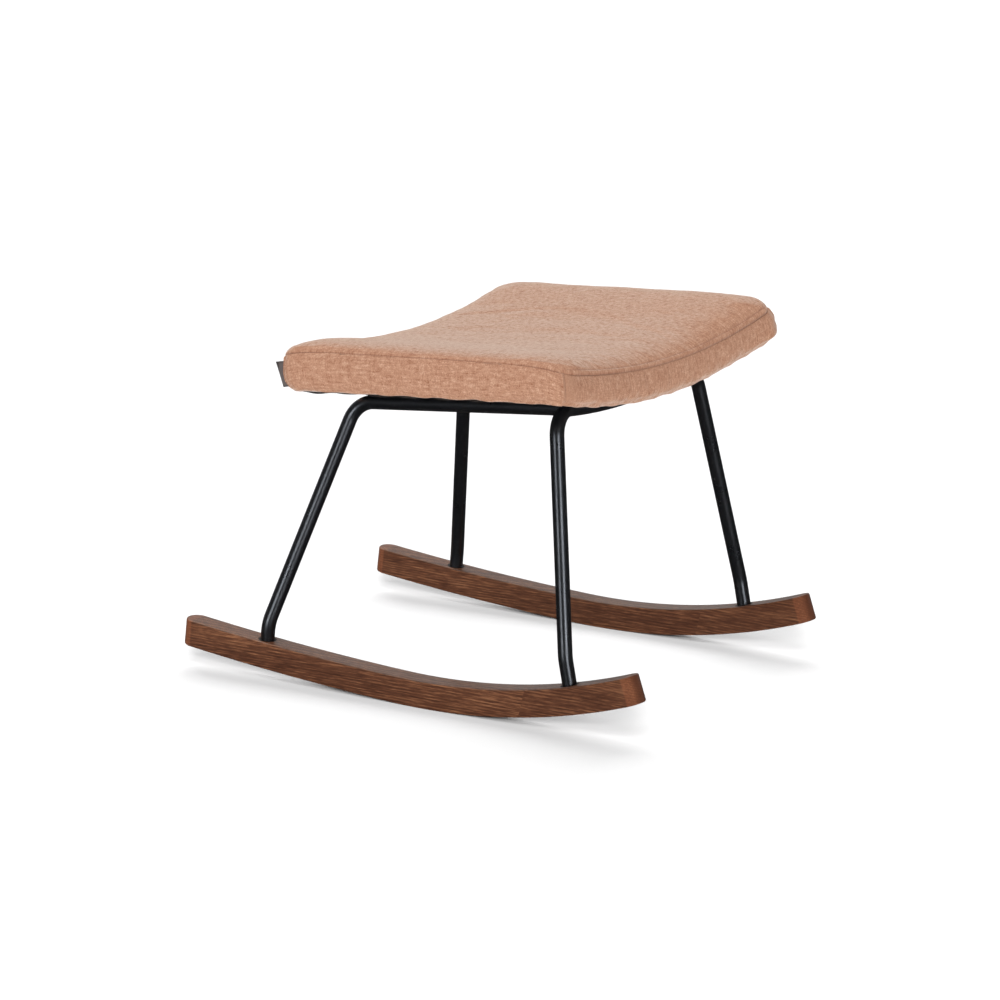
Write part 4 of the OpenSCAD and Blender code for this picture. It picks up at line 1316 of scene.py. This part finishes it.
# Foam core: it stands on the board and ends a few millimetres inside the cover
def makeFoamCore():
    shares = makeShares([], core["step"])
    rows = np.array([0, 0.6, 1.2, 1.8, 2.4, 3.0, 3.6, 4.2])
    side = sideShape(shares, rows, 0)
    shrunk = 1 - core["inset"] / squareHalf
    ring = side["at"] * np.array([shrunk, shrunk, 1])
    top = topShape(shares, core["inset"])["at"] * np.array([shrunk, shrunk, 1])
    points, faces, kinds = joinShapes(top - np.array([0, 0, core["topDown"]]), ring, side["index"])
    n = len(shares)
    count = len(side["index"])
    k, cx, cy, nx, ny, corner = squareGrid(shares)
    bx = k * (cx + (seat["boardCorner"] - core["boardIn"]) * nx)
    by = k * (cy + (seat["boardCorner"] - core["boardIn"]) * ny)
    low = dish(bx, by, np.full_like(bx, core["boardTop"]))
    base = len(points)
    points = np.concatenate([points, low.reshape(-1, 3)])
    faces += gridFaces(n, n, base, True)
    last = base - count
    for i in range(count):
        k = (i + 1) % count
        a, b = side["index"][i]
        d, e = side["index"][k]
        faces.append((base + a * n + b, base + d * n + e, last + k, last + i))
    piece = addPiece("foamCore", fromSeat(points), faces, foam)
    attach(piece, "root")
    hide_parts("foam_pad")
    print("foam core")


# Value of a grid of the top at places u, v
def readAt(grid, shares, u, v):
    i = np.interp(u, shares, np.arange(len(shares)))
    j = np.interp(v, shares, np.arange(len(shares)))
    a = np.minimum(i.astype(int), len(shares) - 2)
    b = np.minimum(j.astype(int), len(shares) - 2)
    s = (i - a)[:, None]
    t = (j - b)[:, None]
    return (grid[a, b] * (1 - s) * (1 - t) + grid[a + 1, b] * s * (1 - t)
        + grid[a, b + 1] * (1 - s) * t + grid[a + 1, b + 1] * s * t)


stitching = {
    "pitch": 3.6,
    "length": 2.7,
    "thick": 0.55,
    "fromEnds": 0.03,
    "lift": 0.1,
    "samples": 220,
    "seed": 4,
}


def makeStitchTree():
    tree, given, out = startTree("GeometryNodeTree", "stitchRow", {
        "Geometry": "Geometry", "Pitch": 0.0036, "Length": 0.0027, "Thickness": 0.00055, "Seed": 4,
        "Thread": "Material"}, ["Geometry"])
    curve = place(tree, "GeometryNodeMeshToCurve", {"Mesh": given["Geometry"]})
    spaced = place(tree, "GeometryNodeResampleCurve", {
        "Curve": curve, "Length": given["Pitch"]}, mode="LENGTH")
    spots = wires(placeNode(tree, "GeometryNodeCurveToPoints", {"Curve": spaced}, mode="EVALUATED"))
    ball = place(tree, "GeometryNodeMeshUVSphere", {"Segments": 6, "Rings": 5, "Radius": 0.5})
    outward = place(tree, "GeometryNodeInputNamedAttribute", {"Name": "outward"}, data_type="FLOAT_VECTOR")
    lie = place(tree, "FunctionNodeAxesToRotation", {
        "Primary Axis": spots["Tangent"], "Secondary Axis": outward}, primary_axis="X", secondary_axis="Z")
    uneven = place(tree, "FunctionNodeRandomValue", {
        2: 0.85, 3: 1.12, "Seed": given["Seed"]}, out=1, data_type="FLOAT")
    size = join(given["Length"] * uneven, given["Thickness"], given["Thickness"])
    laid = place(tree, "GeometryNodeInstanceOnPoints", {
        "Points": spots["Points"], "Instance": ball, "Rotation": lie, "Scale": size})
    endShapes(out, laid, given["Thread"])
    return tree


# Rows of stitches: topstitching beside the lip on the front and the back, and the seam's own
# thread, which shows in the groove on the other two sides
def makeStitches(cover):
    tree = makeStitchTree()
    s = stitching
    t = np.linspace(-1 + s["fromEnds"], 1 - s["fromEnds"], s["samples"])
    beside = cushion["lipWidth"] + cushion["stitchLine"]
    runs = {
        "frontStitches": (t, 0 * t - 1, beside),
        "backStitches": (t, 0 * t + 1, beside),
        "leftStitches": (0 * t - 1, t, 0.0),
        "rightStitches": (0 * t + 1, t, 0.0),
    }
    for name, (bu, bv, inward) in runs.items():
        cx, cy, nx, ny, corner = outline(bu, bv)
        r = seat["boardCorner"] + cushion["seamOut"]
        k = 1 - inward / ((cx + r * nx) * nx + (cy + r * ny) * ny)
        spots = readAt(cover["top"], cover["shares"], k * bu, k * bv)
        arrows = readAt(cover["normals"], cover["shares"], k * bu, k * bv)
        piece = runTree(tree, name, spots + arrows * s["lift"] * mm, {
            "Pitch": s["pitch"] * mm, "Length": s["length"] * mm, "Thickness": s["thick"] * mm,
            "Seed": s["seed"], "Thread": thread}, arrows)
        finishShade(piece.data, 60)
        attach(piece, "root")
    print("stitches")


dust = {
    "inset": 9,
    "thick": 0.5,
    "down": 1.85,
    "edgeSag": 2.0,
    "edgeWidth": 7,
    "heldTo": 165,
    "freeRamp": 25,
    "slack": 0.25,
    "step": 5,
}


# Black cloth under the board. Its edge hangs a little between the staples.
def makeDustCover():
    shares = makeShares([2.0, 4.5, 8.0], dust["step"])
    k, cx, cy, nx, ny, corner = squareGrid(shares)
    r = seat["boardCorner"] - dust["inset"]
    x = k * (cx + r * nx)
    y = k * (cy + r * ny)
    edge = bell((1 - k) * squareHalf, dust["edgeWidth"])
    free = np.clip((np.abs(x) - dust["heldTo"]) / dust["freeRamp"], 0, 1)
    along = np.where(np.abs(ny) > np.abs(nx), x, y)
    between = 0.5 - 0.5 * np.cos(2 * math.pi * along / cushion["staplePitch"])
    rough = np.zeros_like(x)
    for at in np.ndindex(x.shape):
        rough[at] = wobble(x[at], y[at], 2.2, 30)
    hang = dust["edgeSag"] * edge * free * np.clip(between + rough * 0.7, 0, 1)
    slack = dust["slack"] * free * (0.5 + rough)
    at = fromSeat(dish(x, y, -(dust["down"] + hang + slack)))
    faces = gridFaces(len(shares), len(shares), turned=True)
    uv = np.stack([x, y], axis=-1).reshape(-1, 2) * mm
    piece = addPiece("dustCover", at.reshape(-1, 3), faces, dustCloth, uv)
    piece = thicken(piece, "dustCover", dust["thick"], 0)
    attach(piece, "root")
    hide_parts("dust_cover")
    print("dust cover")


label = {
    "topRow": 0.95,
    "footRow": 5.1,
    "topReach": 9.2,
    "footReach": 6.4,
    "inside": 2.0,
    "ply": 0.35,
    "gap": 0.5,
    "lean": 0.7,
    "length": 0.029,
    "steps": 14,
    "plySteps": 6,
    "foldSteps": 8,
}


# Folded ribbon, sewn into the seam of the back left corner
def makeLabel():
    steps = label["steps"]
    rows = np.linspace(label["topRow"], label["footRow"], steps + 1)
    side = sideShape(makeShares([], core["step"]), rows, 0)
    elsewhere = (side["ex"] > 0) | (side["ey"] < 0)
    spot = int(np.argmin(np.where(elsewhere, np.inf, side["corner"][0])))
    root = side["at"][:, spot]
    away = np.array([side["nx"][spot], side["ny"][spot], 0])
    cross = np.array([-away[1], away[0], 0])
    topOut = root[0] + away * label["topReach"]
    footOut = root[-1] + away * label["footReach"]
    points = []
    uv = []
    g = label["gap"]
    turns = np.linspace(0, math.pi, label["foldSteps"] + 1)[1:-1]
    run = np.linspace(0, 1, label["plySteps"] + 1)
    for i in range(steps + 1):
        f = i / steps
        start = root[i] - away * label["inside"]
        end = topOut * (1 - f) + footOut * f
        length = float(np.dot(end - start, away))
        rise = (end - start)[2]
        # Out along one ply, round the fold and back along the other
        flat = [(q * (length - g), g) for q in run]
        flat += [(length - g + g * math.sin(a), g * math.cos(a)) for a in turns]
        flat += [(q * (length - g), -g) for q in run[::-1]]
        for p in flat:
            lean = label["lean"] * math.sin(math.pi * f) * p[0] / length
            up = np.array([0, 0, rise * p[0] / length])
            points.append(start + away * p[0] + cross * (p[1] + lean) + up)
            uv.append((min(p[0], length) * mm, f * label["length"]))
    faces = gridFaces(steps + 1, len(flat))
    piece = addPiece("labelTab", fromSeat(np.array(points)), faces, ribbon, uv)
    piece = thicken(piece, "labelTab", label["ply"], 0)
    tidyMesh(piece)
    finishShade(piece.data, 50)
    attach(piece, "root")
    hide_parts("label_tab")
    print("label tab")


print("rockers")
makeRocker(-1, "rockerLeft", "rocker_left")
makeRocker(1, "rockerRight", "rocker_right")
makeFrame()
cover = makeCover()
makeStitches(cover)
makeFoamCore()
makeDustCover()
makeLabel()

# Pieces that keep their own solids and only get a finish
finishes = {
    "leg_sleeves": blackPlastic,
    "rear_strap": blackPaint,
    "front_tabs": blackPaint,
    "leg_inserts": zinc,
    "rocker_screws": zinc,
    "seat_screws": zinc,
    "tee_nuts": zinc,
    "staples": zinc,
    "seat_board": plywood,
}
for name, finish in finishes.items():
    nodes[name].data.materials.clear()
    nodes[name].data.materials.append(finish)


# Studio. Turn 0 stands in front of the stool and turn 90 at its left.
studio = {
    "ambient": 0.5,
    "background": 1.0,
    "frontLamp": {"turn": 58, "height": 6, "strength": 1.15, "softness": 20},
    "rightGleam": {"turn": 34, "height": 6, "strength": 1.3, "softness": 22},
    "leftGleam": {"turn": 102, "height": 5, "strength": 0.62, "softness": 18},
    "backGleam": {"turn": 94, "height": 1.5, "strength": 1.5, "softness": 24},
    "topLamp": {"turn": 190, "height": 66, "strength": 1.45, "softness": 60},
    "shadowLampLow": {"turn": 58, "height": 23, "strength": 12.9, "softness": 15},
    "shadowLampNear": {"turn": 58, "height": 46, "strength": 5.7, "softness": 28},
    "shadowLampFar": {"turn": 238, "height": 38, "strength": 11.7, "softness": 60},
    "floorReach": 40,
    "floorTone": 0.2,
    "floorBounce": 0.172,
    "mirroredFloor": 0.045,
    "mirroredRoom": 0.09,
    "mirroredBackdrop": 0.55,
}


# A soft lamp far away
def addLamp(name):
    values = studio[name]
    data = bpy.data.lights.new(name, "SUN")
    data.energy = values["strength"]
    data.angle = math.radians(values["softness"])
    lamp = addObject(name, data)
    a = math.radians(values["turn"])
    e = math.radians(values["height"])
    where = Vector((-math.sin(a) * math.cos(e), -math.cos(a) * math.cos(e), math.sin(e)))
    lamp.location = where * 3
    lamp.rotation_mode = "QUATERNION"
    lamp.rotation_quaternion = (-where).to_track_quat("-Z", "Y")
    return lamp


# Collection of what a lamp lights, or is blocked by, or leaves out
def listOnly(name, pieces, state="INCLUDE"):
    made = bpy.data.collections.new(name)
    for piece in pieces:
        made.objects.link(bpy.data.objects[piece])
    for entry in made.collection_objects:
        entry.light_linking.link_state = state
    return made


# Cleared tree of a floor or a room, what each ray is, and whether it shows in the picture
def startBackdrop(owner):
    owner.use_nodes = True
    t = owner.node_tree
    t.nodes.clear()
    rays = wires(placeNode(t, "ShaderNodeLightPath"))
    return t, rays, calc("MAXIMUM", rays["Is Camera Ray"], rays["Is Transmission Ray"])


def makeFloor():
    mesh = bpy.data.meshes.new("floor")
    r = studio["floorReach"]
    mesh.from_pydata([(-r, -r, 0), (r, -r, 0), (r, r, 0), (-r, r, 0)], [], [(0, 1, 2, 3)])
    floor = addObject("floor", mesh)
    paper = bpy.data.materials.new("paleFloor")
    t, rays, shown = startBackdrop(paper)
    seen = (studio["floorTone"],) * 3 + (1,)
    bounced = (studio["floorBounce"],) * 3 + (1,)
    soft = place(t, "ShaderNodeBsdfDiffuse", {"Color": blendColour(shown, bounced, seen)})
    # In mirror images the floor is dim, so that dark paint and wood stay dark
    dim = place(t, "ShaderNodeEmission", {"Color": (1, 1, 1, 1), "Strength": studio["mirroredFloor"]})
    image = place(t, "ShaderNodeMixShader", {0: rays["Is Glossy Ray"], 1: soft, 2: dim})
    # From underneath the floor isn't seen
    under = place(t, "ShaderNodeNewGeometry", out="Backfacing") * rays["Is Camera Ray"]
    clear = place(t, "ShaderNodeBsdfTransparent")
    sided = place(t, "ShaderNodeMixShader", {0: under, 1: image, 2: clear})
    placeNode(t, "ShaderNodeOutputMaterial", {0: sided})
    mesh.materials.append(paper)


def makeRoom():
    world = bpy.data.worlds.new("studio")
    bpy.context.scene.world = world
    t, rays, shown = startBackdrop(world)
    glossy = rays["Is Glossy Ray"]
    # In mirror images the backdrop behind the stool is bright and the rest of the room is dim
    toward = Vector(view["aim"]) - Vector(view["place"])
    toward.z = 0
    toward.normalize()
    direction = place(t, "ShaderNodeTexCoord", out="Generated")
    behind = vectorCalc("DOT_PRODUCT", direction, tuple(toward), out="Value")
    mirrored = glossy * spread(behind, 0.35, 0.9, studio["mirroredRoom"], studio["mirroredBackdrop"])
    plain = (1.0 - calc("MAXIMUM", shown, glossy)) * studio["ambient"]
    strength = calc("MAXIMUM", shown * studio["background"], mirrored) + plain
    back = place(t, "ShaderNodeBackground", {"Color": (1, 1, 1, 1), "Strength": strength})
    placeNode(t, "ShaderNodeOutputWorld", {0: back})


def makeStudio():
    makeFloor()
    makeRoom()
    addLamp("frontLamp").visible_glossy = False
    # These only show as highlights on the tubes, so the tops of the rockers stay brown from every side
    backLegs = ["backLegLeft", "backLegRight"]
    shines = {"rightGleam": ["frontFrame"] + backLegs, "leftGleam": ["frontFrame"], "backGleam": backLegs}
    for name, lit in shines.items():
        lamp = addLamp(name)
        lamp.visible_diffuse = False
        lamp.light_linking.receiver_collection = listOnly(name + "Only", lit)
    addLamp("topLamp").light_linking.receiver_collection = listOnly("allButFloor", ["floor"], "EXCLUDE")
    # These light the floor alone and draw the shadows of the rockers on it
    floorOnly = listOnly("floorOnly", ["floor"])
    rockersOnly = listOnly("rockersOnly", ["rockerLeft", "rockerRight"])
    for name in ("shadowLampLow", "shadowLampNear", "shadowLampFar"):
        lamp = addLamp(name)
        lamp.light_linking.receiver_collection = floorOnly
        lamp.light_linking.blocker_collection = rockersOnly
    bpy.context.scene.view_settings.view_transform = "Standard"


addCamera()
makeStudio()
print("studio")
